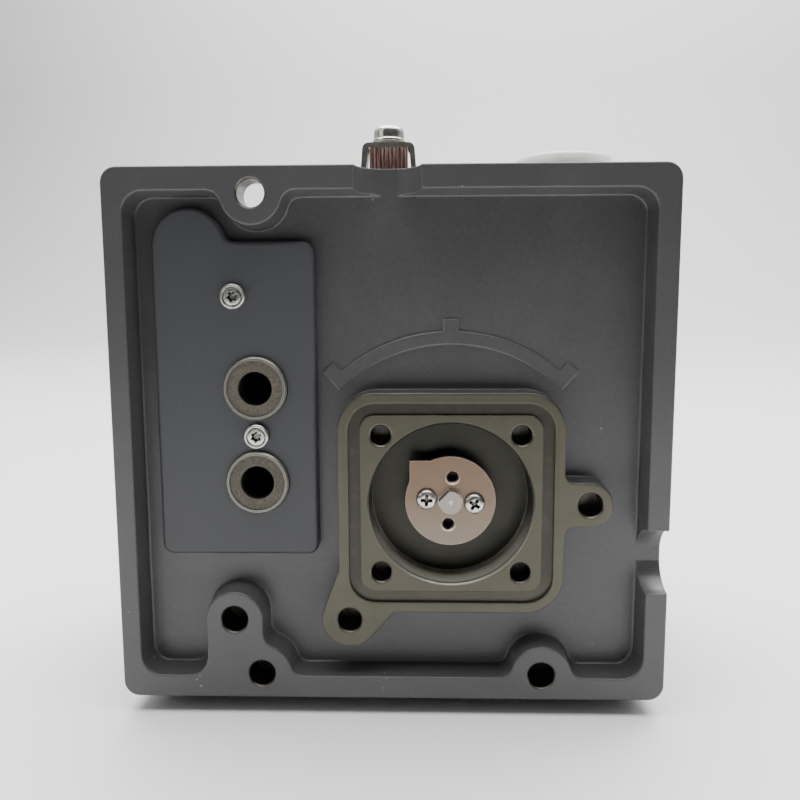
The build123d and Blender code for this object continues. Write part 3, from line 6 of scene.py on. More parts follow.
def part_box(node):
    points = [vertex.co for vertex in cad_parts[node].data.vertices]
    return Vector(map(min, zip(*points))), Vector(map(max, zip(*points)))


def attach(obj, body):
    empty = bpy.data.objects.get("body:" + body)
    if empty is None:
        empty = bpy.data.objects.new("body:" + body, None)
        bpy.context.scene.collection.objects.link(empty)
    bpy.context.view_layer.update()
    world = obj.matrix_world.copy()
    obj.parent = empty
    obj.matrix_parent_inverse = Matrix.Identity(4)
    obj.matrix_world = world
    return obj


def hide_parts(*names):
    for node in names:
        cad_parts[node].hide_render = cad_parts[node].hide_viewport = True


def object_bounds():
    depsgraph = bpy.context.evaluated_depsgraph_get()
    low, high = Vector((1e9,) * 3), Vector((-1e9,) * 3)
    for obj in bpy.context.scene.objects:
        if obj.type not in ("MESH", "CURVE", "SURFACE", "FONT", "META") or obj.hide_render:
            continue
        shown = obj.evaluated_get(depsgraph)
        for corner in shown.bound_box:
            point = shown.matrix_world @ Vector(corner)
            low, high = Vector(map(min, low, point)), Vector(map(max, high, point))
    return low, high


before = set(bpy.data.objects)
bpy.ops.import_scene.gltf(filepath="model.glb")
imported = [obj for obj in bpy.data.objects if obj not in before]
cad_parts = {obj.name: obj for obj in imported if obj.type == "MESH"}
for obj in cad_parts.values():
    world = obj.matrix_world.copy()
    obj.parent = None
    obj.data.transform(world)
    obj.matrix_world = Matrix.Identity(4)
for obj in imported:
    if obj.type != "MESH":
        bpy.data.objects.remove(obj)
cad_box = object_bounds()
mm = 0.001

# Camera: level with the upper half of the positioner, about 20 cm in front of its
# mounting flange, tipped a little down and turned a little to the left.
camera_place = (-7.10, -197.15, 51.78)
yaw, pitch, roll = radians(-1.643), radians(7.243), radians(0.239)
ahead = Vector((sin(yaw) * cos(pitch), cos(yaw) * cos(pitch), -sin(pitch)))
right = Vector((cos(yaw), -sin(yaw), 0))
above = right.cross(ahead)
right, above = right * cos(roll) - above * sin(roll), above * cos(roll) + right * sin(roll)
camera = bpy.data.objects.new("camera", bpy.data.cameras.new("camera"))
camera.data.lens = 36
camera.data.sensor_width = 36
camera.data.clip_start = 0.01
camera.matrix_world = (
    Matrix.Translation(Vector(camera_place) * mm)
    @ Matrix((right, above, -ahead)).transposed().to_4x4()
)
bpy.context.collection.objects.link(camera)
bpy.context.scene.camera = camera


# Table and backdrop: one white sheet that lies under the positioner and curves up
# behind it, as in a product photograph.
def clear_selection():
    """Leave edit mode and deselect everything."""
    if bpy.context.object and bpy.context.object.mode != "OBJECT":
        bpy.ops.object.mode_set(mode="OBJECT")
    bpy.ops.object.select_all(action="DESELECT")


def modify(piece, kind, **settings):
    """Add a modifier, set it and apply it."""
    clear_selection()
    piece.select_set(True)
    bpy.context.view_layer.objects.active = piece
    modifier = piece.modifiers.new(kind.lower(), kind)
    for name, value in settings.items():
        setattr(modifier, name, value)
    bpy.ops.object.modifier_apply(modifier=modifier.name)


def start_piece(name):
    """Name the object that an operator just added and open it for editing."""
    piece = bpy.context.object
    piece.name = name
    piece.data.name = name
    bpy.ops.object.mode_set(mode="EDIT")
    return piece


def finish_piece(piece, finish, body="positioner", smooth=35):
    """Close the edit, bake the place into the mesh, shade it and let it ride."""
    if bpy.context.object.mode != "OBJECT":
        bpy.ops.object.mode_set(mode="OBJECT")
    clear_selection()
    piece.select_set(True)
    bpy.context.view_layer.objects.active = piece
    bpy.ops.object.transform_apply(location=True, rotation=True, scale=True)
    if smooth:
        bpy.ops.object.shade_smooth_by_angle(angle=radians(smooth))
    piece.data.materials.clear()
    piece.data.materials.append(finish)
    if body:
        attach(piece, body)
    return piece


class Dial:
    """A node's output that takes part in Python sums and adds its Math nodes."""

    def __init__(self, finish, socket):
        self.finish = finish
        self.socket = socket

    def work(self, operation, *values):
        return self.finish.node("ShaderNodeMath", {"operation": operation}, dict(enumerate(values)))

    def __add__(self, other):
        return self.work("ADD", self, other)

    def __radd__(self, other):
        return self.work("ADD", other, self)

    def __sub__(self, other):
        return self.work("SUBTRACT", self, other)

    def __rsub__(self, other):
        return self.work("SUBTRACT", other, self)

    def __mul__(self, other):
        return self.work("MULTIPLY", self, other)

    def __truediv__(self, other):
        return self.work("DIVIDE", self, other)

    def __gt__(self, other):
        return self.work("GREATER_THAN", self, other)

    def __lt__(self, other):
        return self.work("LESS_THAN", self, other)

    def __abs__(self):
        return self.work("ABSOLUTE", self)

    def root(self):
        return self.work("SQRT", self)

    def least(self, other):
        return self.work("MINIMUM", self, other)

    def most(self, other):
        return self.work("MAXIMUM", self, other)

    def between(self, low, high):
        """0 below low, 1 above high and a soft step between."""
        limits = {"Value": self, "From Min": low, "From Max": high}
        return self.finish.node("ShaderNodeMapRange", {"interpolation_type": "SMOOTHSTEP"}, limits)


class Finish:
    """A material in the making: its nodes, its shader and the object's coordinates."""

    def __init__(self, name, **fixed):
        self.material = bpy.data.materials.new(name)
        self.material.use_nodes = True
        self.tree = self.material.node_tree
        self.shader = self.tree.nodes["Principled BSDF"]
        self.put(**fixed)
        self.place = self.node("ShaderNodeTexCoord", out="Object")

    def node(self, kind, settings=None, inputs=None, out=0):
        """Any node, with its settings and what goes into it; gives one of its outputs."""
        node = self.tree.nodes.new(kind)
        for name, value in (settings or {}).items():
            setattr(node, name, value)
        for name, value in (inputs or {}).items():
            self.feed(node.inputs[name], value)
        return Dial(self, node.outputs[out])

    def feed(self, socket, value):
        """Link a dial to a socket, or set the socket to a constant."""
        if isinstance(value, Dial):
            self.tree.links.new(value.socket, socket)
        else:
            socket.default_value = value

    def put(self, **values):
        """Set the shader's sockets: Base_Color=..., Roughness=..."""
        for name, value in values.items():
            self.feed(self.shader.inputs[name.replace("_", " ")], value)

    def axes(self):
        """The object's x, y and z in millimetres."""
        to_mm = {0: self.place, "Scale": 1000.0}
        millimetres = self.node("ShaderNodeVectorMath", {"operation": "SCALE"}, to_mm)
        split = self.node("ShaderNodeSeparateXYZ", inputs={0: millimetres})
        return [Dial(self, split.socket.node.outputs[i]) for i in range(3)]

    def noise(self, size, detail=3.0, rough=0.55, stretch=None):
        """Noise with features of about size, in millimetres."""
        place = self.place
        if stretch:
            place = self.node("ShaderNodeMapping", inputs={"Vector": place, "Scale": stretch})
        look = {"Vector": place, "Scale": 1000.0 / size, "Detail": detail, "Roughness": rough}
        return self.node("ShaderNodeTexNoise", inputs=look)

    def dust(self, count):
        """Distance to the nearest of many points, count of them along a metre."""
        spread = {"Vector": self.place, "Scale": count, "Randomness": 1.0}
        return self.node("ShaderNodeTexVoronoi", {"feature": "F1"}, spread)

    def zigzag(self, value, reach):
        """0 to 1 and back, over and over, each way in reach millimetres."""
        return self.node("ShaderNodeMath", {"operation": "PINGPONG"}, {0: value, 1: reach}) / reach

    def mix(self, share, first, second):
        """Second colour over first by share."""
        return self.node("ShaderNodeMix", {"data_type": "RGBA"}, {0: share, 6: first, 7: second}, out=2)

    def bump(self, height, depth, strength=1.0, edge=0.0):
        """Relief of height 0 to 1 that is depth deep, over edges broken to a radius, in millimetres."""
        inputs = {"Height": height, "Distance": depth * mm, "Strength": strength}
        if edge:
            inputs["Normal"] = self.node("ShaderNodeBevel", {"samples": 6}, {"Radius": edge * mm})
        self.put(Normal=self.node("ShaderNodeBump", inputs=inputs))

    def edges(self, reach, low=0.01, high=0.10):
        """1 on edges and in corners, within reach of them in millimetres."""
        rounded = self.node("ShaderNodeBevel", {"samples": 8}, {"Radius": reach * mm})
        true_normal = self.node("ShaderNodeNewGeometry", out="Normal")
        both = {0: rounded, 1: true_normal}
        likeness = self.node("ShaderNodeVectorMath", {"operation": "DOT_PRODUCT"}, both, out="Value")
        return (1 - likeness).between(low, high)

    def shelter(self, reach):
        """0 in the open and 1 deep in a recess, looking reach round, in millimetres."""
        how = {"samples": 8, "only_local": True}
        return 1 - self.node("ShaderNodeAmbientOcclusion", how, {"Distance": reach * mm}, out=1)


def grey(level, warm=0.0):
    """A grey with its red raised and its blue lowered by warm."""
    return (level * (1 + warm), level, level * (1 - warm), 1.0)


floor_z = cad_box[0][2]
sheet_size, sheet_centre_y, sheet_rise, sheet_bend = 3.0, 1.0, 2.2, 0.8
sheet_white = Finish("white_sheet", Roughness=0.75)
sheet_white.put(Base_Color=sheet_white.mix(sheet_white.noise(180, 1), grey(0.88, 0.004), grey(0.90, 0.002)))
clear_selection()
bpy.ops.mesh.primitive_plane_add(size=sheet_size, location=(0, sheet_centre_y, floor_z))
sheet = start_piece("backdrop_sheet")
bpy.ops.mesh.select_all(action="DESELECT")


def select_fold():
    """Select the sheet's back edge where it lies on the floor."""
    bpy.ops.object.mode_set(mode="OBJECT")
    for edge in sheet.data.edges:
        ends = [sheet.data.vertices[v].co for v in edge.vertices]
        edge.select = all(end.y > 0 and end.z < sheet_rise / 2 for end in ends)
    bpy.ops.object.mode_set(mode="EDIT")


select_fold()
bpy.ops.mesh.extrude_region_move(TRANSFORM_OT_translate={"value": (0, 0, sheet_rise)})
select_fold()
bpy.ops.mesh.bevel(offset=sheet_bend, segments=24, affect="EDGES")
finish_piece(sheet, sheet_white.material, body=None, smooth=60)


# Light: a large soft light overhead, a weaker one from the left behind the camera, one
# on the backdrop, and a grey room round them that is pale where the camera looks at it.
def soft_light(name, place, aim, size, power):
    """A rectangular light at place that looks at aim, in metres and watts."""
    lamp = bpy.data.objects.new(name, bpy.data.lights.new(name, "AREA"))
    lamp.data.shape = "RECTANGLE"
    lamp.data.size, lamp.data.size_y = size
    lamp.data.energy = power
    lamp.location = place
    lamp.rotation_euler = (Vector(aim) - Vector(place)).to_track_quat("-Z", "Y").to_euler()
    bpy.context.collection.objects.link(lamp)


soft_light("overhead", place=(0, 0.10, 1.0), aim=(0, 0, 0), size=(1.3, 1.1), power=31.0)
soft_light("left_front", place=(-1.3, -0.7, 0.8), aim=(0, 0, 0.02), size=(0.8, 0.8), power=2.6)
soft_light("sheet_light", place=(0.5, 1.2, 2.0), aim=(0.6, 2.4, 0.6), size=(2.8, 0.8), power=88.0)
room = bpy.data.worlds.new("room")
room.use_nodes = True
nodes, links = room.node_tree.nodes, room.node_tree.links


def room_math(operation, first, second):
    """A sum of the room's brightness, of two outputs or of an output and a number."""
    node = nodes.new("ShaderNodeMath")
    node.operation = operation
    links.new(first, node.inputs[0])
    if isinstance(second, float):
        node.inputs[1].default_value = second
    else:
        links.new(second, node.inputs[1])
    return node.outputs[0]


def room_step(height, start, end, low, high):
    """A soft step of brightness from low to high, between start and end of one axis."""
    step = nodes.new("ShaderNodeMapRange")
    step.interpolation_type = "SMOOTHSTEP"
    for name, value in {"From Min": start, "From Max": end, "To Min": low, "To Max": high}.items():
        step.inputs[name].default_value = value
    links.new(height, step.inputs["Value"])
    return step.outputs[0]


direction = nodes.new("ShaderNodeSeparateXYZ")
links.new(nodes.new("ShaderNodeTexCoord").outputs["Generated"], direction.inputs[0])
ceiling = room_step(direction.outputs[2], start=0.0, end=0.75, low=0.2, high=1.3)
behind = room_step(direction.outputs[1], start=-0.5, end=0.5, low=0.15, high=1.25)
pale = 0.95
looked_at = room_math("MULTIPLY", nodes.new("ShaderNodeLightPath").outputs["Is Camera Ray"], pale)
brightness = room_math("MAXIMUM", room_math("MULTIPLY", ceiling, behind), looked_at)
links.new(brightness, nodes["Background"].inputs["Strength"])
nodes["Background"].inputs["Color"].default_value = (0.98, 0.985, 1.0, 1)
bpy.context.scene.world = room


# Housing: one aluminium die casting, painted dark grey all over, with the mounting
# flange, its seal groove and the round recess machined afterwards and left olive.
def dress(node, finish):
    """Give a CAD node its finish."""
    piece = bpy.data.objects[node]
    piece.data.materials.clear()
    piece.data.materials.append(finish)


def circle_reach(x, z, spot):
    """Distance in millimetres from a line along Y through spot."""
    return ((x - spot[0]) * (x - spot[0]) + (z - spot[1]) * (z - spot[1])).root()


def painted_casting(name):
    """Dark grey baked paint over a fine cast grain, with a painted highlight on the edges and a few specks.
    """
    paint = Finish(name, IOR=1.55)
    clouds = paint.noise(45, 3)
    grain = paint.noise(0.55, 2)
    tone = paint.mix(clouds.between(0.35, 0.65), (0.050, 0.048, 0.051, 1), (0.059, 0.057, 0.060, 1))
    tone = paint.mix(grain.between(0.35, 0.75) * 0.12, tone, grey(0.15))
    # painted highlight: edges and corners are coloured lighter, standing in for the light they catch
    tone = paint.mix(paint.edges(0.4) * 0.35, tone, grey(0.30))
    speck = (1 - paint.dust(260.0).between(0.02, 0.10)) * paint.noise(9, 2).between(0.60, 0.66)
    tone = paint.mix(speck * 0.5, tone, grey(0.45))
    paint.put(Roughness=0.30 + paint.noise(6, 2) * 0.12)
    paint.bump(grain * 0.6 + paint.noise(2.2, 2) * 0.4, 0.03, 0.5, edge=0.6)
    return paint, tone


casting, paint_tone = painted_casting("casting_paint")
x, y, z = casting.axes()
m6_spot, m6_reach = (17.68, 17.68), 2.93
m8_spots, m8_reach = [(-48.9, 77.27), (-49.1, -45.27), (23.5, -45.27), (-55.9, -30.6)], 3.83
lug_spots, lug_reach = [(35.1, 0), (-25.95, -30.56)], 3.48
face_half_width, face_half_height, face_cut, boss_reach = 42, 38.3, 0.34, 7.9
groove_half_width, groove_half_height, groove_cut = 27.2, 27.0, 1.6
recess_reach, recess_floor_reach, recess_cut, hole_cut = 21.2, 20.45, 11, 12.5
painted_boss = circle_reach(x, z, m8_spots[2]) < boss_reach
flange_area = (abs(x) < face_half_width) * (abs(z) < face_half_height) * (1 - painted_boss)
machined_face = flange_area * (y < face_cut)
groove_area = (abs(x) < groove_half_width) * (abs(z) < groove_half_height) * (y < groove_cut)
from_centre = circle_reach(x, z, (0, 0))
recess_area = (from_centre < recess_reach) * (y < recess_cut)
# painted light: the lower wall of the recess is picked out to be coloured pale and made less metallic, as if
# lit
recess_wall_painted_light = (from_centre > recess_floor_reach) * z.between(2, -12)
bare_hole = circle_reach(abs(x), abs(z), m6_spot) < m6_reach
for spots, reach in ((m8_spots, m8_reach), (lug_spots, lug_reach)):
    for spot in spots:
        bare_hole = bare_hole.most(circle_reach(x, z, spot) < reach)
bare_hole = bare_hole * (y < hole_cut)
olive = casting.mix(casting.noise(7, 4), (0.062, 0.058, 0.040, 1), (0.090, 0.084, 0.059, 1))
# painted shade: the groove is coloured darker above z -18 than below z -30, for the shade over its upper part
groove_painted_shade = (z + casting.noise(9, 3) * 10 - 5).between(-30, -18)
groove_brown = casting.mix(groove_painted_shade, (0.075, 0.069, 0.054, 1), (0.040, 0.037, 0.028, 1))
groove_stain = casting.noise(2.2, 4).between(0.5, 0.75) * 0.5
groove_brown = casting.mix(groove_stain, groove_brown, (0.075, 0.066, 0.045, 1))
recess_olive = casting.mix(casting.noise(5, 4), (0.027, 0.027, 0.022, 1), (0.040, 0.039, 0.031, 1))
# painted light on the recess's lower wall
recess_olive = casting.mix(recess_wall_painted_light, recess_olive, (0.22, 0.21, 0.175, 1))
hole_tone = casting.mix(casting.noise(1.2, 3), (0.05, 0.045, 0.038, 1), (0.17, 0.158, 0.138, 1))
tone = paint_tone
for area, colour in (
    (groove_area, groove_brown), (machined_face, olive), (recess_area, recess_olive), (bare_hole, hole_tone),
):
    tone = casting.mix(area, tone, colour)
bare = bare_hole.most(machined_face * 0.5).most(groove_area * 0.6)
casting.put(Base_Color=tone, Metallic=bare.most(recess_area * (0.8 - recess_wall_painted_light * 0.8)))
dress("housing", casting.material)


# Front cover: a second aluminium casting in the same paint, held on its gasket by four
# captive screws.
cover_paint, cover_tone = painted_casting("cover_paint")
cover_paint.put(Base_Color=cover_tone)
dress("front_cover", cover_paint.material)


# Rear cover plate: a moulded nylon lid with a finer, bluer skin than the paint, held by
# two screws over the manifold.
lid_plastic = Finish("lid_plastic", IOR=1.5)
lid_grain = lid_plastic.noise(0.35, 2)
lid_tone = lid_plastic.mix(lid_plastic.noise(30, 2), (0.036, 0.037, 0.041, 1), (0.044, 0.045, 0.050, 1))
lid_speck = (1 - lid_plastic.dust(420.0).between(0.03, 0.09)) * lid_plastic.noise(12, 2).between(0.56, 0.62)
lid_plastic.put(
    Base_Color=lid_plastic.mix(lid_speck * 0.3, lid_tone, grey(0.4)),
    Roughness=0.38 + lid_grain * 0.14,
)
lid_plastic.bump(lid_grain, 0.03, 0.5)
dress("rear_cover_plate", lid_plastic.material)


# Port sleeves: turned aluminium, bright on their outer rim, with an olive seal ring
# in the seat and painted shade, near black, in the bore.
port_spots = [(-49.6, 29.2), (-49.6, 4.9)]
sleeve = Finish("turned_sleeve")
x, y, z = sleeve.axes()
from_port = circle_reach(x, z, port_spots[0]).least(circle_reach(x, z, port_spots[1]))
bright_rim = from_port.between(7.0, 7.25)
stain = sleeve.noise(1.6, 4)
turning = sleeve.zigzag(from_port, 0.22)
sleeve_tone = sleeve.mix(stain, (0.10, 0.096, 0.08, 1), (0.19, 0.185, 0.165, 1))
sleeve_tone = sleeve.mix(turning.between(0.55, 0.95) * bright_rim * 0.6, sleeve_tone, (0.46, 0.45, 0.41, 1))
# painted shade: the bore is coloured near black
bore_painted_shade = sleeve.mix(stain, (0.012, 0.012, 0.010, 1), (0.03, 0.028, 0.022, 1))
sleeve.put(
    Base_Color=sleeve.mix(from_port.between(4.3, 4.6), bore_painted_shade, sleeve_tone),
    Metallic=bright_rim * 0.85,
    Roughness=0.30 + stain * 0.25,
)
dress("port_sleeves", sleeve.material)

seal = Finish("olive_seal")
patch = seal.noise(0.6, 4, 0.7)
ring_tone = seal.mix(patch.between(0.35, 0.65), (0.052, 0.044, 0.030, 1), (0.105, 0.092, 0.066, 1))
seal.put(Base_Color=ring_tone, Roughness=0.45 + patch * 0.3)
seal.bump(patch, 0.06, 0.6)
dress("port_seals", seal.material)

manifold = Finish("milled_manifold", Metallic=1.0)
x, y, z = manifold.axes()
from_port = circle_reach(x, z, port_spots[0]).least(circle_reach(x, z, port_spots[1]))
lanes = manifold.noise(0.5, 3, stretch=(0.05, 1.0, 1.0))
passage_end = 30
# painted shade: the passage behind each port is coloured near black
passage_painted_shade = (1 - from_port.between(4.4, 4.9)) * (y < passage_end)
milled_tone = manifold.mix(manifold.noise(9, 3), grey(0.46), grey(0.60))
manifold.put(
    Base_Color=manifold.mix(passage_painted_shade, milled_tone, (0.012, 0.012, 0.010, 1)),
    Roughness=0.26 + lanes * 0.16,
)
manifold.bump(lanes, 0.01, 0.5, edge=0.25)
dress("pneumatic_manifold", manifold.material)


# Pointer disc: warm stainless plate, brushed round its axis, with painted highlights on its cut edge
# and low in the countersinks of its two tapped holes, and painted shade towards its top.
disc_hole_reach, disc_turn = 6.15, -5
disc = Finish("pointer_plate", Metallic=1.0)
x, y, z = disc.axes()
brush_pitch = 0.12
disc_rings = disc.node(
    "ShaderNodeTexNoise", {"noise_dimensions": "1D"},
    {"W": circle_reach(x, z, (0, 0)) / brush_pitch, "Scale": 1.0, "Detail": 3.0},
)
# painted shade: the plate is coloured darker towards its top
disc_top_shade = (z + disc.noise(6, 3) * 8).between(-12, 12)
# painted highlight: the cut edge and the lower side of each countersink are coloured near white
disc_painted_highlight = disc.edges(0.45, 0.02, 0.16) * 0.85
for angle in (disc_turn + 90, disc_turn + 270):
    hole_spot = (disc_hole_reach * cos(radians(angle)), disc_hole_reach * sin(radians(angle)))
    from_hole = circle_reach(x, z, hole_spot)
    ring = from_hole.between(1.40, 1.5) * (1 - from_hole.between(1.78, 1.95))
    disc_painted_highlight = disc_painted_highlight.most(ring * (hole_spot[1] - z).between(-0.2, 1.2) * 0.8)
disc_tone = disc.mix(disc_top_shade, (0.235, 0.205, 0.165, 1), (0.20, 0.140, 0.102, 1))
disc.put(
    Base_Color=disc.mix(disc_painted_highlight, disc_tone, (1.0, 0.95, 0.88, 1)),
    Roughness=0.34 + disc_rings * 0.14,
)
disc.bump(disc_rings, 0.01, 0.5)
dress("pointer_disc", disc.material)


# Shaft end: blasted steel with a small centre mark, as it is left by the lathe.
# The sensor's shaft has the same finish.
shaft_end = Finish("blasted_steel", Metallic=1.0)
blast = shaft_end.noise(0.25, 3)
x, y, z = shaft_end.axes()
from_axis = circle_reach(x, z, (0, 0))
centre_mark = from_axis.between(0.12, 0.22) * (1 - from_axis.between(0.50, 0.66)) * (y < 2.6)
shaft_tone = shaft_end.mix(blast, (0.34, 0.315, 0.28, 1), (0.50, 0.465, 0.42, 1))
shaft_end.put(
    Base_Color=shaft_end.mix(centre_mark, shaft_tone, grey(1.0)),
    Roughness=0.50 + blast * 0.2,
)
shaft_end.bump(blast, 0.03, 0.6)
for node in ("feedback_shaft", "sensor_shaft"):
    dress(node, shaft_end.material)


# Small metal, rubber and plastic finishes, for the pieces inside and for those outside
# that keep the form they have in the CAD model.
def plain_metal(name, dark, light, rough, grain=1.2):
    """A metal with a soft cloud, fine scratches and uneven gloss."""
    metal = Finish(name, Metallic=1.0)
    cloud = metal.noise(grain * 4, 3)
    scratch = metal.noise(grain, 4, 0.7, stretch=(1.0, 1.0, 0.15))
    metal.put(Base_Color=metal.mix(cloud, (*dark, 1), (*light, 1)), Roughness=rough + scratch * 0.15)
    metal.bump(scratch, 0.008, 0.5)
    return metal.material


def plain_plastic(name, dark, light, rough, grain=0.4, depth=0.02, milky=0.0):
    """A moulded plastic or rubber with a fine skin."""
    plastic = Finish(name)
    skin = plastic.noise(grain, 2)
    plastic.put(
        Base_Color=plastic.mix(plastic.noise(14, 3), (*dark, 1), (*light, 1)),
        Roughness=rough + skin * 0.12,
    )
    plastic.put(Subsurface_Weight=milky, Subsurface_Scale=0.006, Subsurface_Radius=(1.0, 1.0, 1.0))
    plastic.bump(skin, depth, 0.5, edge=0.2)
    return plastic.material


def plated_screw(name, dark, light, rough):
    """A clouded plating over a screw head, with painted shade, near black, in its driver recess."""
    plating = Finish(name, Metallic=1.0)
    cloud = plating.noise(1.0, 4, 0.7)
    tone = plating.mix(cloud.between(0.35, 0.65), (*dark, 1), (*light, 1))
    # painted shade: sheltered parts of the driver recess are coloured near black and made rougher
    recess_painted_shade = plating.shelter(1.6).between(0.22, 0.55)
    plating.put(
        Base_Color=plating.mix(recess_painted_shade, tone, (0.015, 0.014, 0.011, 1)),
        Roughness=rough + cloud * 0.2 + recess_painted_shade * 0.3,
    )
    plating.bump(plating.noise(0.25, 3), 0.02, 0.5, edge=0.12)
    return plating.material


bright_steel = plated_screw("bright_screws", (0.46, 0.45, 0.41), (0.70, 0.69, 0.65), 0.20)
head_nickel = plated_screw("nickel_screw", (0.56, 0.55, 0.48), (0.72, 0.71, 0.64), 0.12)
nickel = plain_metal("nickel_plate", (0.50, 0.49, 0.44), (0.72, 0.71, 0.66), 0.30)
saddle_nickel = plain_metal("stained_nickel", (0.38, 0.34, 0.27), (0.88, 0.86, 0.80), 0.22, 0.5)
zinc = plain_metal("zinc_plate", (0.42, 0.42, 0.40), (0.60, 0.60, 0.58), 0.30)
bronze = plain_metal("sintered_bronze", (0.32, 0.20, 0.10), (0.48, 0.32, 0.17), 0.45, 0.5)
machined = plain_metal("machined_aluminium", (0.45, 0.46, 0.47), (0.60, 0.61, 0.62), 0.28)
anodised = plain_metal("anodised_aluminium", (0.30, 0.31, 0.33), (0.42, 0.43, 0.45), 0.38)
plain_brass = plain_metal("plain_brass", (0.50, 0.36, 0.15), (0.68, 0.52, 0.26), 0.25)
black_rubber = plain_plastic("black_rubber", (0.012, 0.012, 0.012), (0.022, 0.022, 0.021), 0.62)
black_plastic = plain_plastic("black_moulding", (0.012, 0.012, 0.013), (0.02, 0.02, 0.021), 0.42)
natural_plastic = plain_plastic("natural_nylon", (0.62, 0.57, 0.46), (0.72, 0.68, 0.56), 0.40)
panel_plastic = plain_plastic("panel_moulding", (0.10, 0.11, 0.12), (0.13, 0.14, 0.15), 0.5)
key_plastic = plain_plastic("key_moulding", (0.012, 0.05, 0.12), (0.02, 0.07, 0.16), 0.40)
terminal_plastic = plain_plastic("terminal_moulding", (0.01, 0.12, 0.05), (0.015, 0.16, 0.07), 0.42)
cream_plastic = plain_plastic(
    "cream_polyethylene", (0.84, 0.83, 0.79), (0.90, 0.89, 0.86), 0.34, grain=0.8, depth=0.015, milky=0.7
)
for finish, group in {
    bright_steel: ("disc_screws", "cover_plate_screws"),
    saddle_nickel: ("earth_saddle",),
    nickel: ("earth_washer", "earth_screw", "sensor_nut", "terminal_screws", "cover_screws", "blanking_plug"),
    zinc: (
        "retaining_rings", "sensor_bracket", "bracket_screws", "manifold_screws", "board_screws",
        "panel_screws", "retainer_screws",
    ),
    bronze: ("rear_bush", "front_bush", "vent_silencer"),
    machined: ("booster_body",),
    anodised: ("pressure_converter", "booster_cap"),
    plain_brass: ("panel_standoffs",),
    black_rubber: (
        "shaft_seal", "manifold_gasket", "booster_diaphragm", "cover_gasket", "window_seal", "plug_washer",
    ),
    black_plastic: ("driver_hub", "angle_sensor", "key_switches", "window_retainer"),
    natural_plastic: ("drive_gear", "sensor_pinion"),
    panel_plastic: ("display_panel",),
    key_plastic: ("key_mode", "key_enter", "key_up", "key_down"),
    terminal_plastic: ("terminal_block",),
    cream_plastic: ("conduit_cap",),
}.items():
    for node in group:
        dress(node, finish)


# Earth block: dull copper bar, drawn with fine upright ribs that hold the wire, on the
# housing's top edge under the saddle.
copper = Finish("dull_copper", Metallic=0.85)
x, y, z = copper.axes()
wander = copper.noise(1.6, 3, stretch=(1.0, 1.0, 0.25)) * 0.14
rib = copper.zigzag(x + y + wander, 0.2)
tarnish = copper.noise(0.5, 4, stretch=(1.0, 1.0, 0.12))
rib_tone = copper.mix(tarnish.between(0.35, 0.65), (0.28, 0.165, 0.135, 1), (0.66, 0.46, 0.39, 1))
# painted shade: the valleys between the ribs are coloured near black
copper.put(
    Base_Color=copper.mix(rib.between(0.0, 0.4), (0.030, 0.016, 0.012, 1), rib_tone),
    Roughness=0.38 + tarnish * 0.25,
)
copper.bump(rib, 0.12, 0.8)
dress("earth_block", copper.material)


# Circuit board: glass-fibre board with green solder resist over copper lanes, held by
# two screws.
board = Finish("solder_resist")
lanes_across = board.node("ShaderNodeMapping", inputs={
    "Vector": board.place, "Rotation": (radians(90), 0, 0), "Scale": (210.0, 210.0, 210.0),
})
lane = board.node("ShaderNodeTexBrick", {"offset": 0.37, "squash": 1.0}, {
    "Vector": lanes_across, "Mortar Size": 0.05, "Scale": 1.0,
}, out=1)
board.put(
    Base_Color=board.mix(lane, (0.006, 0.055, 0.022, 1), (0.012, 0.10, 0.04, 1)),
    Roughness=0.25 + board.noise(2, 2) * 0.15,
)
dress("main_board", board.material)


# Display and window pane: a grey-green liquid crystal behind its own glass, and clear
# polycarbonate in the cover, held by a seal and a screwed frame.
lcd = Finish("liquid_crystal", Roughness=0.12)
lcd.put(Base_Color=lcd.mix(lcd.noise(20, 2), (0.20, 0.23, 0.17, 1), (0.25, 0.28, 0.21, 1)))
dress("display_module", lcd.material)
pane = Finish("clear_pane", Roughness=0.04, Transmission_Weight=1.0, IOR=1.58)
pane.put(Base_Color=pane.mix(pane.noise(60, 1), (0.90, 0.93, 0.93, 1), (0.95, 0.97, 0.97, 1)))
dress("window_pane", pane.material)


# Small turned and cut parts: each is a disc that is raised through stations of
# (height, radius) along its axis, with its driver recess cut out afterwards.
to_rear, to_top, to_front = Vector((0, -1, 0)), Vector((0, 0, 1)), Vector((0, 1, 0))


def raise_disc(name, centre, facing, stations, sides=64):
    """Raise a disc through (height, radius) stations, in millimetres from centre along facing."""
    clear_selection()
    centre = Vector(centre)
    height, radius = stations[0]
    bpy.ops.mesh.primitive_circle_add(
        vertices=sides, radius=radius * mm, fill_type="NGON",
        location=(centre + facing * height) * mm, rotation=facing.to_track_quat("Z", "Y").to_euler(),
    )
    piece = start_piece(name)
    for next_height, next_radius in stations[1:]:
        step = facing * (next_height - height) * mm
        bpy.ops.mesh.extrude_region_move(TRANSFORM_OT_translate={"value": step})
        ring_centre = (centre + facing * next_height) * mm
        bpy.ops.transform.resize(value=(next_radius / radius,) * 3, center_override=ring_centre)
        height, radius = next_height, next_radius
    bpy.ops.mesh.select_all(action="SELECT")
    bpy.ops.mesh.normals_make_consistent(inside=False)
    bpy.ops.object.mode_set(mode="OBJECT")
    bpy.ops.object.transform_apply(location=True, rotation=True, scale=True)
    return piece


def round_over(start, end, steps=7):
    """Stations on a quarter round from a side at start to a face at end."""
    (low, wide), (high, narrow) = start, end
    turns = [radians(90) * step / steps for step in range(1, steps + 1)]
    return [(low + (high - low) * sin(turn), narrow + (wide - narrow) * cos(turn)) for turn in turns]


def thread_rings(low, high, radius, pitch):
    """Stations of thread crests and roots from low to high."""
    rings = []
    for ring in range(int((high - low) / pitch)):
        rings += [(low + ring * pitch, radius - 0.3 * pitch), (low + (ring + 0.5) * pitch, radius)]
    return rings + [(high, radius - 0.3 * pitch)]


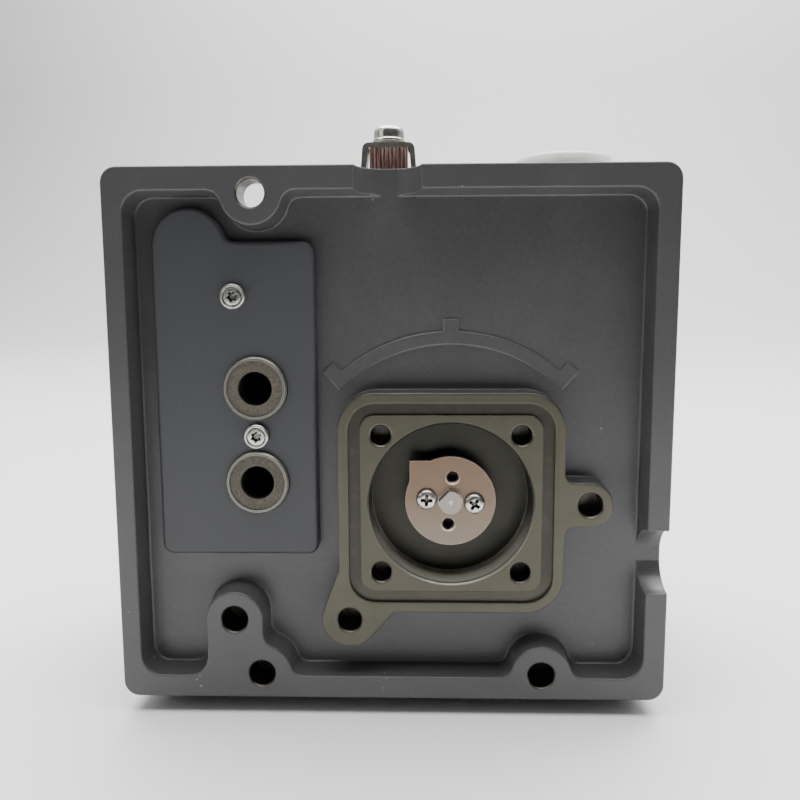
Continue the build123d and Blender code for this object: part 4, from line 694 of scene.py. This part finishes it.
def driver_cutter(mouth, facing, reach, valley, every, depth, turn=0.0):
    """A driver recess as a solid: twelve corners at reach, one in every few drawn in to valley."""
    clear_selection()
    mouth = Vector(mouth)
    facing_turn = facing.to_track_quat("Z", "Y").to_matrix() @ Matrix.Rotation(radians(turn), 3, "Z")
    bpy.ops.mesh.primitive_circle_add(
        vertices=12, radius=reach * mm, fill_type="NGON", location=mouth * mm, rotation=facing_turn.to_euler()
    )
    cutter = start_piece("driver_cutter")
    bpy.ops.mesh.select_all(action="DESELECT")
    bpy.ops.object.mode_set(mode="OBJECT")
    for corner in list(cutter.data.vertices)[::every]:
        corner.select = True
    bpy.ops.object.mode_set(mode="EDIT")
    bpy.ops.transform.resize(value=(valley / reach,) * 3, center_override=mouth * mm)
    bpy.ops.mesh.select_all(action="SELECT")
    bpy.ops.mesh.bevel(offset=0.12 * reach * mm, segments=3, affect="VERTICES")
    bpy.ops.mesh.select_all(action="SELECT")
    bpy.ops.mesh.extrude_region_move(TRANSFORM_OT_translate={"value": -facing * depth * mm})
    bpy.ops.transform.resize(value=(0.72, 0.72, 0.72), center_override=(mouth - facing * depth) * mm)
    bpy.ops.mesh.select_all(action="SELECT")
    bpy.ops.mesh.normals_make_consistent(inside=False)
    bpy.ops.object.mode_set(mode="OBJECT")
    return cutter


def cut(piece, cutter):
    """Take the cutter's solid out of the piece."""
    modify(piece, "BOOLEAN", operation="DIFFERENCE", object=cutter, solver="EXACT")
    bpy.data.objects.remove(cutter, do_unlink=True)


def twin_of(piece, name, place, turn=0.0):
    """A copy with its own mesh, moved to place in millimetres and turned about Y in degrees."""
    twin = piece.copy()
    twin.data = piece.data.copy()
    twin.name = name
    twin.data.name = name
    bpy.context.collection.objects.link(twin)
    twin.location = Vector(place) * mm
    twin.rotation_euler = (0, radians(turn), 0)
    return twin


# Cover plate screws: plated steel, six-lobe drive, a domed rim round a sunk centre.
# They pass through the plate into the manifold.
low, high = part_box("cover_plate_screws")
head_top, tip = -low.y / mm, -high.y / mm
plate_seat = -4.0
six_lobe_head = raise_disc("plate_screw_form", (0, 0, 0), to_rear, [
    (tip, 1.1),
    *thread_rings(tip + 0.3, plate_seat - 1.2, 1.5, 0.5),
    (plate_seat, 1.5),
    (plate_seat, 3.05),
    (plate_seat + 0.12, 3.22),
    (plate_seat + 0.9, 3.25),
    *round_over((plate_seat + 0.9, 3.25), (head_top, 2.75)),
    (head_top - 0.04, 2.5),
    (head_top - 0.3, 2.36),
    (head_top - 0.3, 2.24),
    (head_top - 0.12, 2.12),
    (head_top - 0.06, 1.9),
])
cut(six_lobe_head, driver_cutter((0, -head_top, 0), to_rear, 1.62, 1.08, 2, 1.2))
for name, place, turn in (
    ("plate_screw_upper", (-54.6, 0, 52.4), -11),
    ("plate_screw_lower", (-49.5, 0, 16.95), -26),
):
    screw = twin_of(six_lobe_head, name, place, turn)
    finish_piece(screw, bright_steel)
    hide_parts("cover_plate_screws")
bpy.data.objects.remove(six_lobe_head, do_unlink=True)


# Disc screws: two plated pan heads with a cross recess, which hold the pointer plate to
# the hub and turn with it.
low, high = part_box("disc_screws")
head_top, tip = -low.y / mm, -high.y / mm
disc_seat = -4.0
pan_head = raise_disc("disc_screw_form", (0, 0, 0), to_rear, [
    (tip, 0.9),
    *thread_rings(tip + 0.2, disc_seat - 0.3, 1.25, 0.45),
    (disc_seat, 1.25),
    (disc_seat, 2.6),
    (disc_seat + 0.1, 2.73),
    (disc_seat + 0.45, 2.73),
    *round_over((disc_seat + 0.45, 2.73), (head_top, 1.2), 10),
])
cut(pan_head, driver_cutter((0, -head_top - 0.02, 0), to_rear, 1.62, 0.62, 3, 1.2, 45))
for name, angle, turn in (("disc_screw_left", disc_turn + 180, 2), ("disc_screw_right", disc_turn, 33)):
    place = (disc_hole_reach * cos(radians(angle)), 0, disc_hole_reach * sin(radians(angle)))
    screw = twin_of(pan_head, name, place, turn)
    finish_piece(screw, bright_steel, body="shaft")
    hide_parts("disc_screws")
bpy.data.objects.remove(pan_head, do_unlink=True)


# Earth screw: nickel-plated cheese head with a collar and a cross recess. It rises with
# the saddle and the washer when the clamp is opened.
low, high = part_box("earth_screw")
earth_spot = ((low.x + high.x) / 2 / mm, (low.y + high.y) / 2 / mm, 0)
head_top, tip, washer_top = high.z / mm, low.z / mm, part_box("earth_washer")[1].z / mm
earth_head = raise_disc("earth_screw_head", earth_spot, to_top, [
    (tip, 1.5),
    *thread_rings(tip + 0.3, washer_top - 0.4, 2.0, 0.7),
    (washer_top, 2.0),
    (washer_top, 4.05),
    (washer_top + 0.1, 4.15),
    (washer_top + 0.6, 4.12),
    (washer_top + 0.75, 3.98),
    (washer_top + 0.9, 3.92),
    (washer_top + 1.0, 4.0),
    (washer_top + 2.4, 3.94),
    *round_over((washer_top + 2.4, 3.94), (head_top, 2.4), 12),
])
cut(earth_head, driver_cutter((*earth_spot[:2], head_top + 0.02), to_top, 2.1, 0.75, 3, 1.9, 10))
finish_piece(earth_head, head_nickel, body="clamp")
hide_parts("earth_screw")


# Transit cap: cream polyethylene plug with soft fins below a domed flange, which has a
# shallow ring and a gate mark on top.
low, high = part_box("conduit_cap")
cap_spot = ((low.x + high.x) / 2 / mm, (low.y + high.y) / 2 / mm, 0)
cap_top, cap_tip = high.z / mm, low.z / mm
cap_seat, flange_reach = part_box("housing")[1].z / mm, (high.x - low.x) / 2 / mm
plug_reach = 9.4
fins = []
for fin in range(5):
    foot = cap_tip + 1.2 + fin * 1.9
    fins += [(foot, plug_reach - 0.5), (foot + 0.5, plug_reach), (foot + 0.7, plug_reach - 0.5)]
transit_cap = raise_disc("transit_cap", cap_spot, to_top, [
    (cap_tip, plug_reach - 1.4),
    *fins,
    (cap_seat, plug_reach - 0.5),
    (cap_seat, flange_reach - 0.3),
    (cap_seat + 0.3, flange_reach),
    *round_over((cap_top - 1.7, flange_reach), (cap_top - 0.6, flange_reach - 1.3), 12),
    (cap_top - 0.35, flange_reach - 4.0),
    (cap_top - 0.1, flange_reach - 6.6),
    (cap_top - 0.5, flange_reach - 6.9),
    (cap_top - 0.5, flange_reach - 7.5),
    (cap_top - 0.05, flange_reach - 7.8),
    (cap_top, 1.2),
    (cap_top - 0.3, 1.0),
    (cap_top - 0.3, 0.4),
], 96)
finish_piece(transit_cap, cream_plastic, body="cap")
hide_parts("conduit_cap")


# Display reading: liquid crystal segments printed on the module, three figures, a
# decimal point, a percent sign and a bar of twenty marks, which is the valve's travel.
def flat_form(name, centre, facing, outline, height):
    """A low prism on a list of (across, up) corners, in millimetres about centre."""
    clear_selection()
    bpy.ops.mesh.primitive_circle_add(vertices=len(outline), radius=mm, fill_type="NGON")
    piece = bpy.context.object
    piece.name = name
    piece.data.name = name
    for corner, (across, up) in zip(piece.data.vertices, outline):
        corner.co = Vector((across, up, 0)) * mm
    bpy.ops.object.mode_set(mode="EDIT")
    bpy.ops.mesh.select_all(action="SELECT")
    bpy.ops.mesh.extrude_region_move(TRANSFORM_OT_translate={"value": (0, 0, height * mm)})
    bpy.ops.mesh.select_all(action="SELECT")
    bpy.ops.mesh.normals_make_consistent(inside=False)
    bpy.ops.object.mode_set(mode="OBJECT")
    piece.location = Vector(centre) * mm
    piece.rotation_euler = Matrix((Vector((-1, 0, 0)), Vector((0, 0, 1)), facing)).transposed().to_euler()
    return piece


def round_outline(radius, sides):
    """Corners of a many-sided ring round (0, 0)."""
    turns = [radians(360) * side / sides for side in range(sides)]
    return [(radius * cos(turn), radius * sin(turn)) for turn in turns]


def join(name, parts):
    """Make one object of several."""
    clear_selection()
    for part in parts:
        part.select_set(True)
    bpy.context.view_layer.objects.active = parts[0]
    bpy.ops.object.transform_apply(location=True, rotation=True, scale=True)
    if len(parts) > 1:
        bpy.ops.object.join()
    parts[0].name = name
    parts[0].data.name = name
    return parts[0]


low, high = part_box("display_module")
glass_y = high.y / mm
display_x, display_z = (low.x + high.x) / 2 / mm, (low.z + high.z) / 2 / mm
bar_length, bar_width, lean = 4.2, 0.9, 0.08
figure_bars = {
    "4": "bcfg",
    "8": "abcdefg",
    "6": "acdefg",
}
bar_places = {
    "a": (0, 1, False), "b": (0.5, 0.5, True), "c": (0.5, -0.5, True), "d": (0, -1, False),
    "e": (-0.5, -0.5, True), "f": (-0.5, 0.5, True), "g": (0, 0, False),
}
marks = []


def add_mark(across, up, outline):
    """A printed mark at a place on the display, as it is read from the front."""
    centre = (display_x - across, glass_y, display_z + up)
    marks.append(flat_form("mark", centre, to_front, outline, 0.08))


bar_gap = 0.35
half, tip = bar_length / 2 - bar_gap, bar_width / 2
inner = half - tip
bar_outline = [(-half, 0), (-inner, -tip), (inner, -tip), (half, 0), (inner, tip), (-inner, tip)]
figures_up, bar_graph_up, percent_across = 2.2, -6.6, 11.0
for figure, start in (("4", -14.0), ("8", -6.5), ("6", 3.0)):
    for bar in figure_bars[figure]:
        across, up, turn = bar_places[bar]
        corners = [(-b, a) for a, b in bar_outline] if turn else bar_outline
        rise = up * bar_length
        add_mark(start + across * bar_length + rise * lean, figures_up + rise, corners)
add_mark(0.2, -2.2, [(-0.5, -0.5), (0.5, -0.5), (0.5, 0.5), (-0.5, 0.5)])
add_mark(percent_across, figures_up, [(-2.2, -2.6), (-1.6, -2.6), (2.2, 2.6), (1.6, 2.6)])
for across, up in ((-1.5, 1.7), (1.5, -1.7)):
    add_mark(percent_across + across, figures_up + up, round_outline(0.8, 8))
for mark in range(20):
    height = 1.0 if mark < 10 else 0.25
    add_mark(-19 + mark * 2, bar_graph_up, [(-0.6, -height), (0.6, -height), (0.6, height), (-0.6, height)])
ink = Finish("display_ink", Roughness=0.3)
ink.put(Base_Color=ink.mix(ink.noise(3, 2), (0.012, 0.016, 0.012, 1), (0.022, 0.026, 0.020, 1)))
finish_piece(join("display_reading", marks), ink.material, smooth=0)


# Key signs: white inlays printed on the four blue keys, a menu of three bars, a dot and
# two arrows. Each goes down with its key.
inlay = Finish("key_inlay", Roughness=0.45)
inlay.put(Base_Color=inlay.mix(inlay.noise(2, 2), grey(0.66), grey(0.74)))
bar = [(-1.7, -0.22), (1.7, -0.22), (1.7, 0.22), (-1.7, 0.22)]
arrow = [(-1.7, -1.1), (1.7, -1.1), (0, 1.7)]
key_signs = {
    "key_mode": [(0, 1.0, bar), (0, 0, bar), (0, -1.0, bar)],
    "key_enter": [(0, 0, round_outline(1.5, 24))],
    "key_up": [(0, 0, arrow)],
    "key_down": [(0, 0, [(-across, -up) for across, up in arrow])],
}
for key, signs in key_signs.items():
    low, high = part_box(key)
    key_spot = Vector(((low.x + high.x) / 2, high.y, (low.z + high.z) / 2)) / mm
    forms = [
        flat_form(key + "_mark", key_spot + Vector((-across, 0, up)), to_front, outline, 0.08)
        for across, up, outline in signs
    ]
    finish_piece(join(key + "_sign", forms), inlay.material, body=key, smooth=0)


# Board parts: what stands on the board between the display and the terminals, a square
# controller with its legs, two capacitors, a choke and a row of small chips.
low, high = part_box("key_switches")
board_y = low.y / mm
strip_z = 31.0


def block(name, centre, size, edge):
    """A block with broken edges, in millimetres."""
    clear_selection()
    bpy.ops.mesh.primitive_cube_add(size=1, location=Vector(centre) * mm, scale=Vector(size) * mm)
    bpy.ops.object.transform_apply(location=False, rotation=False, scale=True)
    piece = start_piece(name)
    bpy.ops.mesh.select_all(action="SELECT")
    bpy.ops.mesh.bevel(offset=edge * mm, segments=2, affect="EDGES")
    bpy.ops.object.mode_set(mode="OBJECT")
    return piece


chip_x, chip_size, chip_height = -18.0, 9.0, 1.5
chip_place = (chip_x, board_y + chip_height / 2 + 0.1, strip_z)
controller = block("controller", chip_place, (chip_size, chip_height, chip_size), 0.2)
finish_piece(controller, black_plastic)
legs = []
for leg in range(10):
    shift = (leg - 4.5) * 0.8
    for side in (-1, 1):
        reach = side * (chip_size / 2 + 0.4)
        legs.append(block("leg", (chip_x + reach, board_y + 0.25, strip_z + shift), (1.1, 0.3, 0.4), 0.06))
        legs.append(block("leg", (chip_x + shift, board_y + 0.25, strip_z + reach), (0.4, 0.3, 1.1), 0.06))
finish_piece(join("controller_legs", legs), zinc)
for number, can_x in enumerate((32.0, 23.0)):
    can = raise_disc("capacitor_" + str(number + 1), (can_x, board_y, strip_z), to_front, [
        (0, 3.0), (0.3, 3.2), (1.2, 3.2), (1.4, 2.95), (1.6, 2.95), (1.8, 3.2),
        *round_over((6.0, 3.2), (6.5, 2.8), 5), (6.5, 2.6), (6.35, 2.5), (6.35, 0.3),
    ], 48)
    finish_piece(can, anodised)
choke = raise_disc("choke", (13.0, board_y, strip_z), to_front, [
    (0, 3.6), (0.8, 3.8), (1.0, 3.8), (1.1, 3.1), (3.2, 3.1), (3.3, 3.8),
    *round_over((3.6, 3.8), (4.0, 3.4), 4), (4.0, 1.4), (3.0, 1.2), (3.0, 0.3),
], 8)
finish_piece(choke, black_plastic)
chips = []
for number in range(7):
    for row_z in (strip_z + 3.2, strip_z - 2.2):
        place = (-8.5 + number * 2.6, board_y + 0.35, row_z)
        chips.append(block("small_chip", place, (1.3, 0.6, 2.2), 0.08))
finish_piece(join("small_chips", chips), key_plastic)
